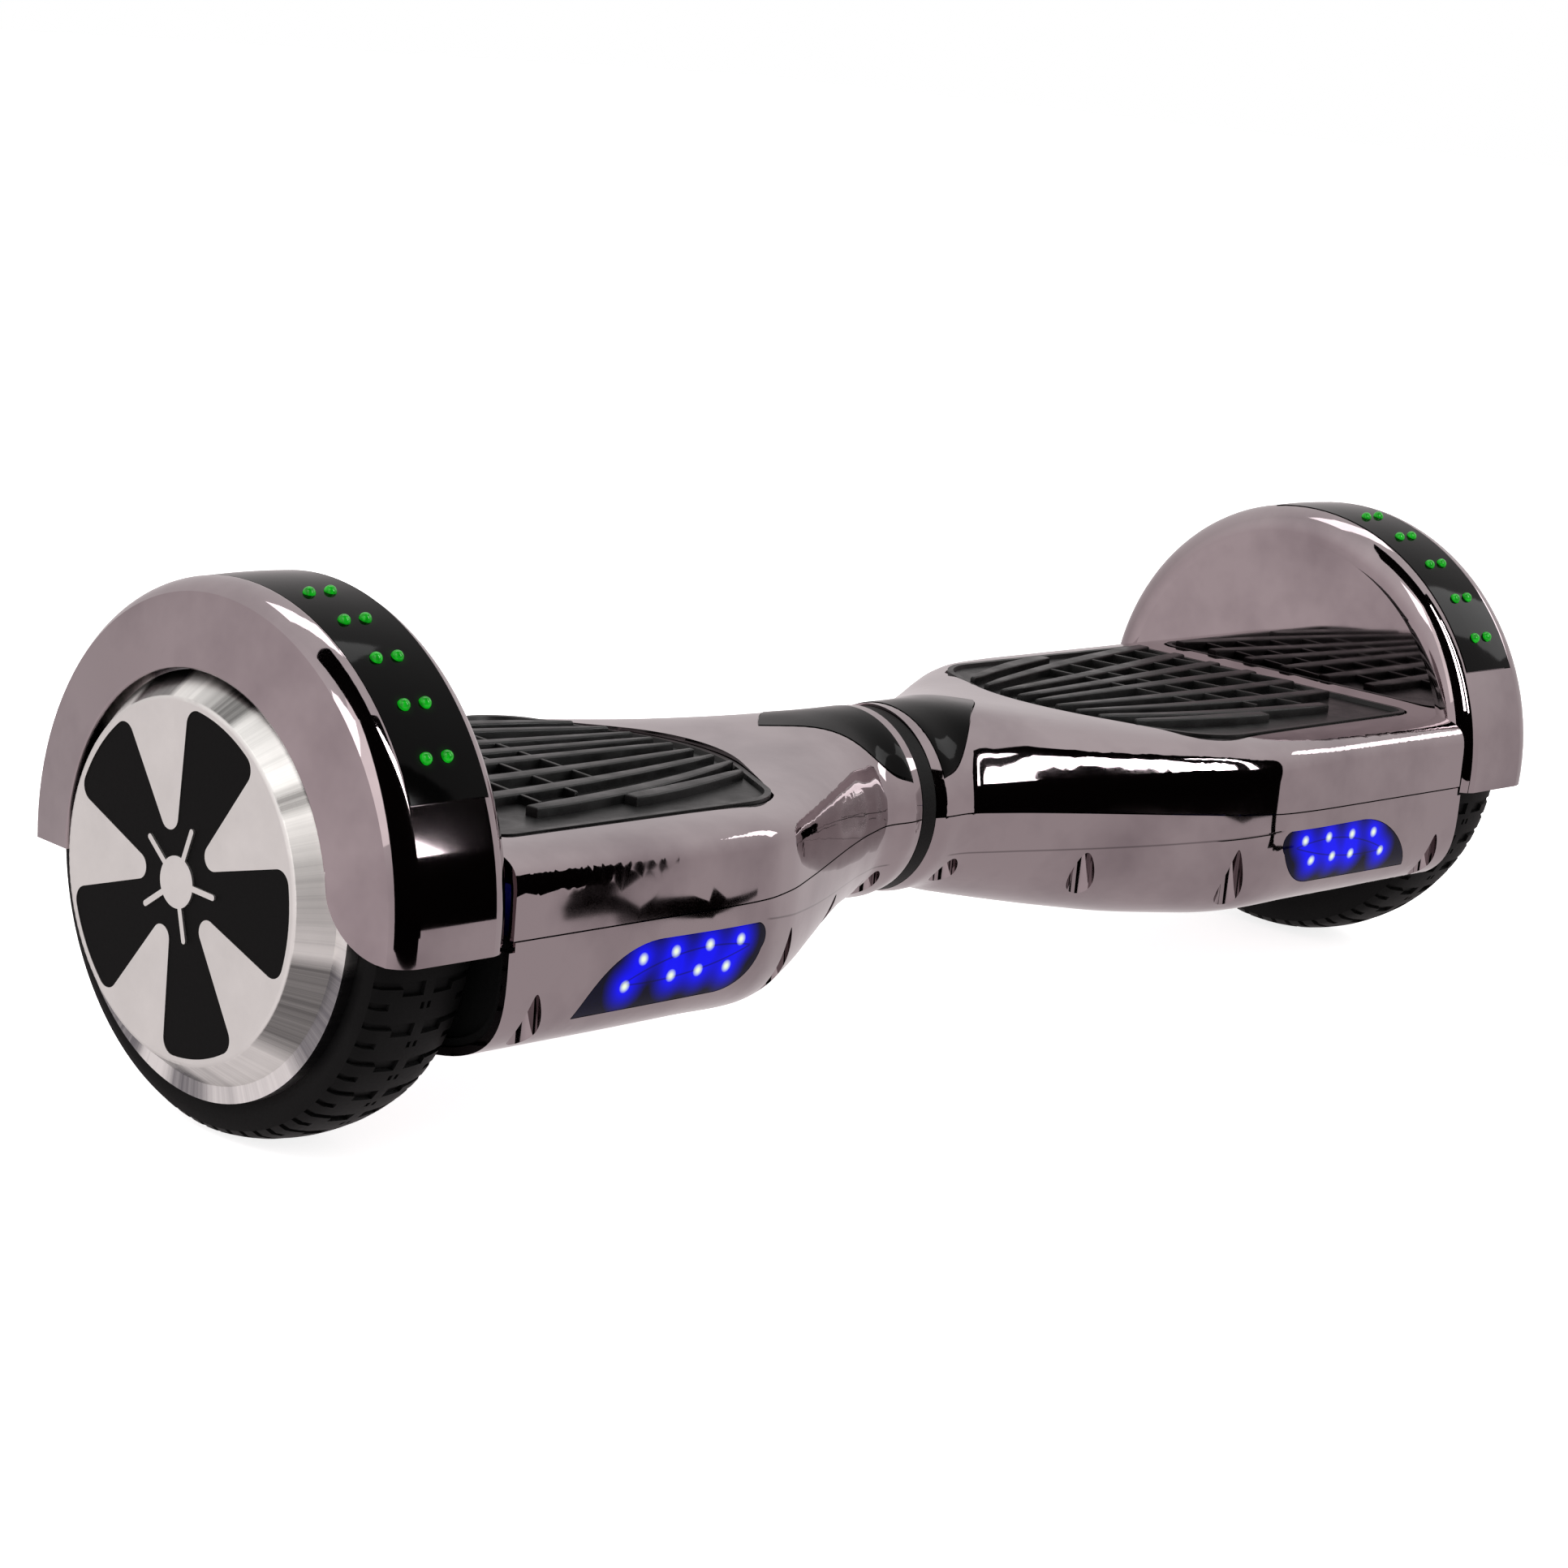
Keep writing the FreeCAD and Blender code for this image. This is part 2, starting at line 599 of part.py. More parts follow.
def make_rim():
    drum = ring(rim_seat_r, rim_seat_r - rim_wall, rotor_in_x + cover_t, lip_x)
    lip = ring(lip_r, rim_seat_r - 1, tyre_out_x - 1.5, lip_x)
    bead = ring(rim_seat_r + 4, rim_seat_r - 1, rotor_in_x + cover_t, rotor_in_x + cover_t + 2)
    side = ring(rim_seat_r - 1, bearing_r, lip_x - 8, lip_x - 4)
    hub = ring(bearing_r + 4, bearing_r, lip_x - 2 - bearing_w, lip_x - 2)
    return fuse([drum, lip, bead, side, hub])


def make_magnets():
    r_in = stator_r + air_gap
    band = ring(rim_seat_r - rim_wall, r_in + magnet_t, stator_x0 - 1, stator_x1 + 1)
    blocks = []
    for k in range(magnets):
        block = box(stator_x0 - 1, stator_x1 + 1, -7.4, 7.4, tyre_r + 40, tyre_r + 60)
        blocks.append(block.rotate(V(0, 0, tyre_r), V(1, 0, 0), k * 360.0 / magnets))
    plates = ring(r_in + magnet_t, r_in, stator_x0 - 1, stator_x1 + 1)
    return fuse([band] + [plates.common(b) for b in blocks])


def make_motor_cover():
    return ring(rim_seat_r, bearing_r, rotor_in_x, rotor_in_x + cover_t)


def wedge_solid(grow, x0, x1):
    # a bare wedge between two petals, along +Y from its round tip to beyond the hub
    half = math.radians(wedge_half_deg)
    r = wedge_tip_r - grow
    tip_y, tip_z = wedge_tip_at - r * math.sin(half), r * math.cos(half)
    end_z = tip_z + (tyre_r - tip_y) * math.tan(half)
    outline = [(tip_y, -tip_z), ((wedge_tip_at - r, 0), (tip_y, tip_z)), (tyre_r, end_z), (tyre_r, -end_z)]
    face = Part.Face(path(outline, lambda y, z: V(x0 - 1, y, tyre_r + z)))
    return face.extrude(V(x1 - x0 + 2, 0, 0))


def petal_solid(grow, x0, x1):
    # the five-petal inlay grown by a little: a disc less five wedges, its outer corners rounded
    solid = rod(petal_r + grow, x0, x1)
    for k in range(petals):
        turn = petal_turn + (k + 0.5) * 360.0 / petals
        solid = solid.cut(wedge_solid(grow, x0, x1).rotate(V(0, 0, tyre_r), V(1, 0, 0), turn))
    corners = []
    for e in solid.Edges:
        start = e.Vertexes[0].Point
        if e.BoundBox.XLength > x1 - x0 - 0.01 and math.hypot(start.y, start.z - tyre_r) > petal_r - 1:
            corners.append(e)
    return solid.makeFillet(petal_corner_r, corners)


def make_hub_plate():
    outline = [(lip_x, 60.0), (lip_x, hub_cone_r), (hub_face_x - 0.6, hub_face_r + 0.1),
               ((hub_face_x - 0.15, hub_face_r - 0.5), (hub_face_x, hub_face_r - 1.2)),
               (hub_face_x, 0), (hub_face_x - 3.4, 0), (hub_face_x - 3.4, hub_face_r - 3.6)]
    plate = turned(outline, 0, 360)
    return plate.cut(petal_solid(0.0, hub_face_x - inlay_depth, hub_face_x + 2))


def make_hub_inlay():
    inlay = petal_solid(-0.05, hub_face_x - inlay_depth, hub_face_x - inlay_set_back)
    return inlay.cut(rod(cap_r - 2, hub_face_x - 5, hub_face_x + 5))


def make_hub_cap():
    x0, x1 = hub_face_x - inlay_set_back, hub_face_x + 0.5
    shapes = [rod(cap_r, x0, x1)]
    for k in range(petals):
        arm = box(x0, x1, 0, arm_reach, tyre_r - arm_w / 2, tyre_r + arm_w / 2)
        arm = arm.fuse(rod(arm_w / 2, x0, x1, arm_reach, tyre_r))
        shapes.append(arm.rotate(V(0, 0, tyre_r), V(1, 0, 0), petal_turn + k * 360.0 / petals))
    stem = rod(cap_r - 2.1, hub_face_x - inlay_depth, x0 + 0.1)
    return fuse(shapes + [stem])


def make_tyre():
    outline = [(tyre_in_x + 1.7, rim_seat_r + 0.02), (tyre_in_x + 4, rim_seat_r + 0.02),
               (tyre_out_x - 1.6, rim_seat_r + 0.02), (tyre_out_x - 1.6, lip_r + 0.3),
               ((tyre_out_x + 0.1, 76.0), (tyre_out_x - 3.4, tyre_r - 2.4)),
               ((tyre_out_x - 10, tyre_r - 0.5), (273.5, tyre_r)),
               ((tyre_in_x + 10, tyre_r - 0.5), (tyre_in_x + 3.4, tyre_r - 2.4)),
               ((tyre_in_x - 0.1, 75.0), (tyre_in_x + 1.7, 66.5))]
    tyre = turned(outline, 0, 360)
    bead = ring(rim_seat_r + 4, rim_seat_r - 1, tyre_in_x - 2, rotor_in_x + cover_t + 2)
    return tyre.cut(bead)


# ---- foot pad and its switch board -----------------------------------------
def make_foot_pad():
    base = pad_outline(-seam_gap, pad_under_z, deck_z + 0.1)
    stems = [post(plunger_r, x, y, plunger_foot_z, pad_under_z + 0.2) for x, y in plunger_at]
    ribs = pad_ribs(deck_z - 0.2, deck_z + pad_rib_h)
    return fuse([base, ribs] + stems)


def pad_ribs(z0, z1):
    # raised ribs that fan out from the neck side towards the wheel, wider at the far end
    strips = []
    w0, w1 = rib_start_half, rib_end_half
    for xa, ya, xb, yb, bow in pad_rib_lines:
        x_mid, y_mid, w_mid = (xa + xb) / 2, (ya + yb) / 2 + bow, (w0 + w1) / 2
        strips.append(slab([(xa, ya - w0), ((x_mid, y_mid - w_mid), (xb, yb - w1)),
                            (xb, yb + w1), ((x_mid, y_mid + w_mid), (xa, ya + w0))], z0, z1))
    return fuse(strips)


def make_sensor_board():
    z0 = plate_z1 + 1.0
    z1 = z0 + board_t
    board = box(104, 236, -30, 30, z0, z1)
    arms = [box(x - 9, x + 9, -47, 47, z0, z1) for x in (plunger_at[0][0], plunger_at[2][0])]
    top = plunger_foot_z - pad_travel - 0.15
    switches = [box(x - 4, x + 4, y - 4, y + 4, z1 - 0.1, top) for x, y in plunger_at]
    chip = box(160, 178, -9, 9, z1 - 0.1, z1 + 1.5)
    return fuse([board, chip] + arms + switches)


# ---- electrics -------------------------------------------------------------
def make_battery():
    pack = box(108, 206, -battery_half_y, battery_half_y, plate_z0 - rib_h - battery_h, plate_z0 - rib_h)
    return pack.makeFillet(4.0, pack.Edges)


def make_main_board():
    z0 = plate_z0 - 12
    z1 = z0 + board_t
    board = box(76, 200, -42, 42, z0, z1)
    posts = [post(3.0, x, y, z1, plate_z0) for x in (82, 192) for y in (28, -28)]
    parts = [box(92 + 16 * k, 102 + 16 * k, -32, -16, z0 - 12, z0) for k in range(6)]
    caps = [post(7.5, 100 + 22 * k, 16, z0 - 26, z0) for k in range(3)]
    return fuse([board] + posts + parts + caps)


def back_rod(r, x, z, start, end):
    # a rod along Y, from start to end behind the cover's back face
    y = half_width_at(x, z)
    return Part.makeCylinder(r, end - start, V(x, y + start, z), V(0, 1, 0))


def make_power_button():
    stem = back_rod(button_r - 0.35, button_x, button_z, -9.0, button_proud)
    flange = back_rod(button_r + 1.2, button_x, button_z, -9.6, -wall - button_proud - wall_lean)
    return fuse([stem, flange])


def make_charge_socket():
    body = back_rod(socket_r, socket_x, socket_z, -control_depth, -0.4)
    collar = back_rod(socket_r + 2.0, socket_x, socket_z, -9.0, -wall - wall_lean)
    hole = back_rod(socket_bore_r, socket_x, socket_z, -18.0, 1.0)
    pins = [back_rod(0.8, socket_x + dx, socket_z + dz, -18.5, -13.0)
            for dx, dz in ((-2.2, -1.2), (2.2, -1.2), (0, 2.4))]
    return fuse([body.fuse(collar).cut(hole)] + pins)


def make_charge_cap():
    # a rubber disc with a short plug, hung from a hinge barrel above the socket
    face = dust_cap_off + dust_cap_t
    disc = back_rod(socket_r + 1.5, socket_x, socket_z, dust_cap_off, face)
    plug = back_rod(socket_bore_r - 0.6, socket_x, socket_z, -2.0, dust_cap_off + 0.1)
    y = half_width_at(socket_x, socket_z)
    tab = box(socket_x - 3.0, socket_x + 3.0, y + dust_cap_off + 0.1, y + face,
              socket_z + socket_r, dust_hinge_z)
    barrel_y = y + dust_cap_off + dust_cap_t / 2 - 0.05
    barrel = rod(dust_hinge_r, socket_x - 3.0, socket_x + 3.0, barrel_y, dust_hinge_z)
    return fuse([disc, plug, tab, barrel])


# ---- write -----------------------------------------------------------------
os.makedirs("parts", exist_ok=True)


def save(name, shape):
    shape = shape.copy()
    if len(shape.Solids) == 1:
        shape = shape.Solids[0]
    shape.exportStep(os.path.join("parts", name + ".step"))
    box_now = shape.optimalBoundingBox()
    print("%-24s solids %2d valid %s vol %9.0f x %.1f..%.1f y %.1f..%.1f z %.1f..%.1f" % (
        name, len(shape.Solids), shape.isValid(), shape.Volume, box_now.XMin, box_now.XMax,
        box_now.YMin, box_now.YMax, box_now.ZMin, box_now.ZMax))


pieces = {
    "top_shell": make_top_shell(),
    "bottom_cover": make_bottom_cover(),
    "headlight_lens": make_headlight_lens(),
    "headlight_board": make_headlight_board(),
    "wheel_liner": make_wheel_liner(),
    "fender_strip": make_strip(),
    "fender_leds": make_fender_leds(),
    "neck_cap": make_indicator_cap(),
    "axle_clamp": make_axle_clamp(),
    "clamp_screws": make_clamp_screws(),
    "cover_screws": make_bottom_screws(),
    "motor_shaft": make_shaft(),
    "stator": make_stator(),
    "windings": make_windings(),
    "bearings": make_bearings(),
    "rim": make_rim(),
    "magnet_ring": make_magnets(),
    "motor_cover": make_motor_cover(),
    "hub_plate": make_hub_plate(),
    "hub_inlay": make_hub_inlay(),
    "hub_cap": make_hub_cap(),
    "tyre": make_tyre(),
    "foot_pad": make_foot_pad(),
    "sensor_board": make_sensor_board(),
}

for name, shape in pieces.items():
    save("left_" + name, mirrored(shape))
    save("right_" + name, make_right_cover(shape) if name == "bottom_cover" else shape)
save("right_frame", make_frame(True))
save("left_frame", mirrored(make_frame(False)))
save("pivot_tube", make_pivot_tube())
save("pivot_bushes", make_pivot_bushes())
save("pivot_circlip", make_circlip())
save("stop_pins", make_stop_pins())
save("neck_ring", make_neck_ring())
save("battery_pack", mirrored(make_battery()))
save("main_board", make_main_board())
save("power_button", make_power_button())
save("charge_socket", make_charge_socket())
save("charge_cap", make_charge_cap())
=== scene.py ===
import math

import bmesh
import bpy
from mathutils import Matrix, Vector


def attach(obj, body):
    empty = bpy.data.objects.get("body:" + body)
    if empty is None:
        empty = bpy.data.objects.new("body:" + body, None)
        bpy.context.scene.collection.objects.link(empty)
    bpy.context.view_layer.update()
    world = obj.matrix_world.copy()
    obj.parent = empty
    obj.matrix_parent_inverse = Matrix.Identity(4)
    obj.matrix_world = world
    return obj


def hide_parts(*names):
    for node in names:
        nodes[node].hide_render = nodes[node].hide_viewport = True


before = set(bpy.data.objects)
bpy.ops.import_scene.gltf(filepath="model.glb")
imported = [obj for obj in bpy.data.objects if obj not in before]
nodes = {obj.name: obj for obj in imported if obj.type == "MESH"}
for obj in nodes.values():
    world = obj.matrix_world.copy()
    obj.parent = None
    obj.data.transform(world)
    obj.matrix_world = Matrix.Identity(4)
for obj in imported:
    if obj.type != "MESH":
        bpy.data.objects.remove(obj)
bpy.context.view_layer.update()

mm = 0.001
axleHeight = 84 * mm
sides = {"left": -1, "right": 1}
print("frame loaded:", len(nodes), "nodes")


# helpers for materials
def colour(code):  # sRGB hex to linear
    parts = [int(code[i:i + 2], 16) / 255 for i in (1, 3, 5)]
    return [p / 12.92 if p <= 0.04045 else ((p + 0.055) / 1.055) ** 2.4 for p in parts] + [1.0]


def addNode(tree, kind, settings=None, **inputs):
    # inputs are named by socket, with _ for a space, or sN for the Nth socket
    node = tree.nodes.new(kind)
    for key, value in (settings or {}).items():
        setattr(node, key, value)
    for key, value in inputs.items():
        numbered = key[0] == "s" and key[1:].isdigit()
        socket = node.inputs[int(key[1:]) if numbered else key.replace("_", " ")]
        if isinstance(value, bpy.types.NodeSocket):
            tree.links.new(value, socket)
        else:
            socket.default_value = value
    return node


def newMaterial(name, **inputs):
    # a material with one Principled shader, whose fixed values are set on its own sockets
    material = bpy.data.materials.new(name)
    material.use_nodes = True
    tree = material.node_tree
    shader = tree.nodes["Principled BSDF"]
    for key, value in inputs.items():
        shader.inputs[key.replace("_", " ")].default_value = value
    place = addNode(tree, "ShaderNodeTexCoord").outputs["Object"]
    return material, tree, shader, place


def noise(tree, place, size, detail=3.0, rough=0.5, stretch=(1, 1, 1)):
    # size is the pattern's grain in millimetres
    scale = 1 / (size * mm)
    moved = addNode(tree, "ShaderNodeMapping", Vector=place, Scale=[scale * s for s in stretch])
    return addNode(tree, "ShaderNodeTexNoise", Vector=moved.outputs[0], Scale=1.0, Detail=detail,
                   Roughness=rough).outputs["Fac"]


def remap(tree, value, low, high, fromLow=0.0, fromHigh=1.0):
    return addNode(tree, "ShaderNodeMapRange", {"clamp": True}, Value=value, s1=fromLow, s2=fromHigh,
                   s3=low, s4=high).outputs[0]


def maths(tree, operation, a, b=0.0, c=0.0):
    return addNode(tree, "ShaderNodeMath", {"operation": operation}, s0=a, s1=b, s2=c).outputs[0]


def blendColours(tree, factor, first, second):
    node = addNode(tree, "ShaderNodeMix", {"data_type": "RGBA"}, s0=factor, s6=first, s7=second)
    return node.outputs[2]


def bump(tree, shader, height, distance, strength=1.0):
    node = addNode(tree, "ShaderNodeBump", Height=height, Distance=distance * mm, Strength=strength)
    tree.links.new(node.outputs[0], shader.inputs["Normal"])
    return node


# finishes
def smokedChrome():
    # vacuum-plated ABS under tinted lacquer: a dark warm mirror with a faint cloudy haze, and the thin
    # moulded crease that runs from the neck to the top of each lamp, dented in by bump, with painted shade
    # darkening the colour along it
    look = {"tint": "#A3979A", "haze": "#8C8084", "hazeSize": 45.0, "roughLow": 0.02, "roughHigh": 0.07,
            "creaseFrom": 15.0, "creaseTo": 139.0, "creaseLow": 64.0, "creaseRise": 9.4, "creaseWidth": 0.5}
    material, tree, shader, place = newMaterial("SmokedChromePlating", Metallic=1.0, Coat_Weight=0.2,
                                                Coat_Roughness=0.02)
    cloud = noise(tree, place, look["hazeSize"], 4.0, 0.55)
    tint = blendColours(tree, remap(tree, cloud, 0.0, 1.0, 0.42, 0.72), colour(look["tint"]),
                        colour(look["haze"]))
    x, y, z = addNode(tree, "ShaderNodeSeparateXYZ", Vector=place).outputs
    along = maths(tree, "ABSOLUTE", x)
    part = remap(tree, along, 0.0, 1.0, look["creaseFrom"] * mm, look["creaseTo"] * mm)
    level = maths(tree, "MULTIPLY_ADD", maths(tree, "POWER", part, 1.7), look["creaseRise"] * mm,
                  look["creaseLow"] * mm)
    away = maths(tree, "ABSOLUTE", maths(tree, "SUBTRACT", z, level))
    crease = remap(tree, away, 1.0, 0.0, 0.0, look["creaseWidth"] * mm)
    within = maths(tree, "MULTIPLY", remap(tree, part, 0.0, 1.0, 0.0, 0.02),
                   remap(tree, part, 1.0, 0.0, 0.98, 1.0))
    crease = maths(tree, "MULTIPLY", crease, within)
    # painted shade: the base colour is darkened along the crease line, standing in for shade in the crease
    tint = blendColours(tree, maths(tree, "MULTIPLY", crease, 0.6), tint, colour("#241E20"))
    tree.links.new(tint, shader.inputs["Base Color"])
    tree.links.new(remap(tree, cloud, look["roughLow"], look["roughHigh"], 0.35, 0.75),
                   shader.inputs["Roughness"])
    swell = maths(tree, "SUBTRACT", noise(tree, place, 34.0, 1.0), maths(tree, "MULTIPLY", crease, 6.0))
    bump(tree, shader, swell, 0.02, 0.2)
    return material


def glossLacquer(name, halos=()):
    # piano-black moulded polycarbonate: deep black with a clear hard shine; round each of the lamps set in
    # it, their green light is painted on as a glow a little way out
    look = {"haloSize": 5.4, "halo": "#0A7A12", "haloStrength": 0.22}
    material, tree, shader, place = newMaterial(name, IOR=1.5, Specular_IOR_Level=0.06)
    speck = noise(tree, place, 25.0, 2.0)
    tree.links.new(blendColours(tree, speck, colour("#010101"), colour("#040404")),
                   shader.inputs["Base Color"])
    tree.links.new(remap(tree, speck, 0.04, 0.09), shader.inputs["Roughness"])
    bump(tree, shader, noise(tree, place, 18.0, 1.0), 0.03, 0.3)
    if halos:
        x, y, z = addNode(tree, "ShaderNodeSeparateXYZ", Vector=place).outputs
        folded = addNode(tree, "ShaderNodeCombineXYZ", s0=maths(tree, "ABSOLUTE", x), s1=y, s2=z).outputs[0]
        glow = 0.0
        for spot in halos:
            gap = addNode(tree, "ShaderNodeVectorMath", {"operation": "DISTANCE"}, s0=folded,
                          s1=spot).outputs[1]
            fall = remap(tree, gap, 1.0, 0.0, 0.0, look["haloSize"] * mm)
            glow = maths(tree, "ADD", glow, maths(tree, "POWER", fall, 3.0))
        # painted light: green emission on the strip round each lamp spot
        shader.inputs["Emission Color"].default_value = colour(look["halo"])
        tree.links.new(maths(tree, "MULTIPLY", glow, look["haloStrength"]),
                       shader.inputs["Emission Strength"])
    return material


def ledSpots():
    # where the green lamps sit on the fender's crown: pairs at even angles up from the front
    row = {"pairs": 5, "first": 34, "step": 11.1, "across": (268.9, 277.1), "radius": 93}
    spots = []
    for k in range(row["pairs"]):
        turn = math.radians(row["first"] + row["step"] * k)
        for x in row["across"]:
            spots.append((x * mm, -row["radius"] * mm * math.cos(turn),
                          axleHeight + row["radius"] * mm * math.sin(turn)))
    return spots


def sparkedPlastic():
    # spark-eroded black ABS: even matt grain
    material, tree, shader, place = newMaterial("SparkTexturedBlackAbs", IOR=1.5, Specular_IOR_Level=0.1)
    grain = noise(tree, place, 0.7, 2.0, 0.6)
    tree.links.new(blendColours(tree, grain, colour("#050505"), colour("#0D0D0D")),
                   shader.inputs["Base Color"])
    tree.links.new(remap(tree, grain, 0.42, 0.6), shader.inputs["Roughness"])
    bump(tree, shader, grain, 0.05, 0.5)
    return material


def padRubber():
    # moulded thermoplastic rubber: charcoal, satin, with a fine leathery tooth and paler scuffs
    material, tree, shader, place = newMaterial("MouldedPadRubber", IOR=1.5, Specular_IOR_Level=0.3)
    tooth = noise(tree, place, 0.9, 3.0, 0.6)
    scuff = noise(tree, place, 14.0, 5.0, 0.65)
    base = blendColours(tree, remap(tree, scuff, 0.0, 1.0, 0.45, 0.8), colour("#060606"), colour("#151615"))
    tree.links.new(base, shader.inputs["Base Color"])
    tree.links.new(remap(tree, scuff, 0.3, 0.52, 0.35, 0.7), shader.inputs["Roughness"])
    bump(tree, shader, tooth, 0.05, 0.45)
    return material


def tyreRubber():
    # carbon-black solid tyre rubber: dull, with dust in the pores
    material, tree, shader, place = newMaterial("SolidTyreRubber", IOR=1.5, Specular_IOR_Level=0.1)
    pores = noise(tree, place, 1.1, 4.0, 0.6)
    dust = noise(tree, place, 20.0, 4.0, 0.6)
    base = blendColours(tree, remap(tree, dust, 0.0, 1.0, 0.5, 0.8), colour("#040404"), colour("#090909"))
    tree.links.new(base, shader.inputs["Base Color"])
    tree.links.new(remap(tree, pores, 0.48, 0.66), shader.inputs["Roughness"])
    bump(tree, shader, pores, 0.05, 0.35)
    return material


def turnedAlloy(name, tone, shade, roughLow, roughHigh, faceRadius=0.0):
    # lathe-turned aluminium: fine rings round the axle, and on the sloping band beyond the face painted
    # highlight and shade: broad light and dark rays and hair-fine streaks in the colour, standing in for the
    # reflections that such rings throw
    pitch = 0.35  # millimetres between rings, coarser than a lathe leaves so that they show
    material, tree, shader, place = newMaterial(name, Metallic=1.0)
    centred = addNode(tree, "ShaderNodeMapping", Vector=place, Location=(0, 0, -axleHeight))
    x, y, z = addNode(tree, "ShaderNodeSeparateXYZ", Vector=centred.outputs[0]).outputs
    radius = maths(tree, "SQRT", maths(tree, "ADD", maths(tree, "MULTIPLY", y, y),
                                       maths(tree, "MULTIPLY", z, z)))
    angle = maths(tree, "ARCTAN2", z, y)
    # the angle is read as a place on a circle, so that the painted rays have no seam
    ray = addNode(tree, "ShaderNodeCombineXYZ", s0=maths(tree, "COSINE", angle),
                  s1=maths(tree, "SINE", angle), s2=maths(tree, "SIGN", x)).outputs[0]
    broad = addNode(tree, "ShaderNodeTexNoise", Vector=ray, Scale=1.9, Detail=1.0).outputs["Fac"]
    fine = addNode(tree, "ShaderNodeTexNoise", Vector=ray, Scale=30.0, Detail=4.0,
                   Roughness=0.7).outputs["Fac"]
    # painted highlight and shade: light and dark rays round the axle, which also set the roughness
    paintedRays = maths(tree, "MULTIPLY_ADD", remap(tree, fine, -0.16, 0.16, 0.3, 0.7), 1.0,
                 remap(tree, broad, 0.1, 1.0, 0.44, 0.52))
    grooves = addNode(tree, "ShaderNodeCombineXYZ", s0=maths(tree, "MULTIPLY", radius, 1 / (pitch * mm)),
                      s1=maths(tree, "MULTIPLY", x, 1 / (pitch * mm)),
                      s2=maths(tree, "MULTIPLY", angle, 0.8))
    rings = addNode(tree, "ShaderNodeTexNoise", Vector=grooves.outputs[0], Scale=1.0,
                    Detail=2.0).outputs["Fac"]
    cloud = noise(tree, place, 16.0, 4.0, 0.6)
    onBand = remap(tree, radius, 0.0, 1.0, (faceRadius - 0.2) * mm, (faceRadius + 0.2) * mm)
    paintedRays = addNode(tree, "ShaderNodeMix", s0=onBand, s2=0.9, s3=paintedRays).outputs[0]
    mixed = maths(tree, "MULTIPLY", paintedRays, remap(tree, cloud, 0.9, 1.0, 0.3, 0.7))
    tree.links.new(blendColours(tree, mixed, colour(shade), colour(tone)), shader.inputs["Base Color"])
    tree.links.new(remap(tree, paintedRays, roughLow, roughHigh), shader.inputs["Roughness"])
    bump(tree, shader, rings, 0.012, 0.4)
    return material


def inlayLacquer():
    # screen-thick satin black lacquer in the hub's recesses
    material, tree, shader, place = newMaterial("SatinBlackLacquer", IOR=1.5, Specular_IOR_Level=0.08)
    grain = noise(tree, place, 1.2, 3.0)
    tree.links.new(blendColours(tree, grain, colour("#010101"), colour("#030303")),
                   shader.inputs["Base Color"])
    tree.links.new(remap(tree, grain, 0.45, 0.6), shader.inputs["Roughness"])
    bump(tree, shader, grain, 0.03, 0.3)
    return material


def castMetal(name, light, dark, grainSize, roughness, metallic=1.0):
    material, tree, shader, place = newMaterial(name, Metallic=metallic)
    grain = noise(tree, place, grainSize, 4.0, 0.6)
    tree.links.new(blendColours(tree, grain, colour(dark), colour(light)), shader.inputs["Base Color"])
    tree.links.new(remap(tree, grain, roughness - 0.08, roughness + 0.1), shader.inputs["Roughness"])
    bump(tree, shader, grain, 0.06, 0.5)
    return material


def enamelledWire():
    # close turns of enamelled copper wire along the tooth
    spacing = 0.8  # millimetres from turn to turn
    material, tree, shader, place = newMaterial("EnamelledCopperWire", Metallic=1.0, Coat_Weight=0.5)
    turns = addNode(tree, "ShaderNodeTexWave", {"bands_direction": "X"}, Vector=place,
                    Scale=2 / (spacing * mm) / 20, Distortion=1.0, Detail=1.0).outputs["Fac"]
    tree.links.new(blendColours(tree, turns, colour("#6E3514"), colour("#C9743A")),
                   shader.inputs["Base Color"])
    tree.links.new(remap(tree, turns, 0.25, 0.4), shader.inputs["Roughness"])
    bump(tree, shader, turns, 0.15, 0.7)
    return material


def solderResist():
    # green lacquer over copper tracks
    material, tree, shader, place = newMaterial("GreenSolderResist", IOR=1.5, Coat_Weight=0.4)
    tracks = addNode(tree, "ShaderNodeTexBrick", Vector=place, s1=colour("#0C4A22"), s2=colour("#0E5A2A"),
                     s3=colour("#1C7A3E"), Scale=1 / (9 * mm) / 2, Mortar_Size=0.03)
    tree.links.new(tracks.outputs["Color"], shader.inputs["Base Color"])
    fine = noise(tree, place, 1.5, 2.0)
    tree.links.new(remap(tree, fine, 0.25, 0.4), shader.inputs["Roughness"])
    bump(tree, shader, tracks.outputs["Fac"], 0.05, 0.5)
    return material


def shrinkWrap():
    # blue heat-shrunk PVC film over the cells: glossy, with soft wrinkles
    material, tree, shader, place = newMaterial("BlueShrinkFilm", IOR=1.53)
    wrinkle = noise(tree, place, 22.0, 5.0, 0.6, (1, 0.3, 1))
    tree.links.new(blendColours(tree, wrinkle, colour("#123A8C"), colour("#1D57B8")),
                   shader.inputs["Base Color"])
    tree.links.new(remap(tree, wrinkle, 0.15, 0.3), shader.inputs["Roughness"])
    bump(tree, shader, wrinkle, 0.6, 0.6)
    return material


def ledDome():
    # diffused green epoxy, lit from inside
    material, tree, shader, place = newMaterial("LitGreenEpoxy", IOR=1.55, Roughness=0.12,
                                                Specular_IOR_Level=0.25, Emission_Strength=0.42)
    depth = noise(tree, place, 1.6, 1.0)
    lit = blendColours(tree, remap(tree, depth, 0.0, 1.0, 0.35, 0.65), colour("#039A0B"), colour("#0ED01C"))
    tree.links.new(lit, shader.inputs["Emission Color"])
    tree.links.new(blendColours(tree, depth, colour("#04400A"), colour("#0C7A18")),
                   shader.inputs["Base Color"])
    return material


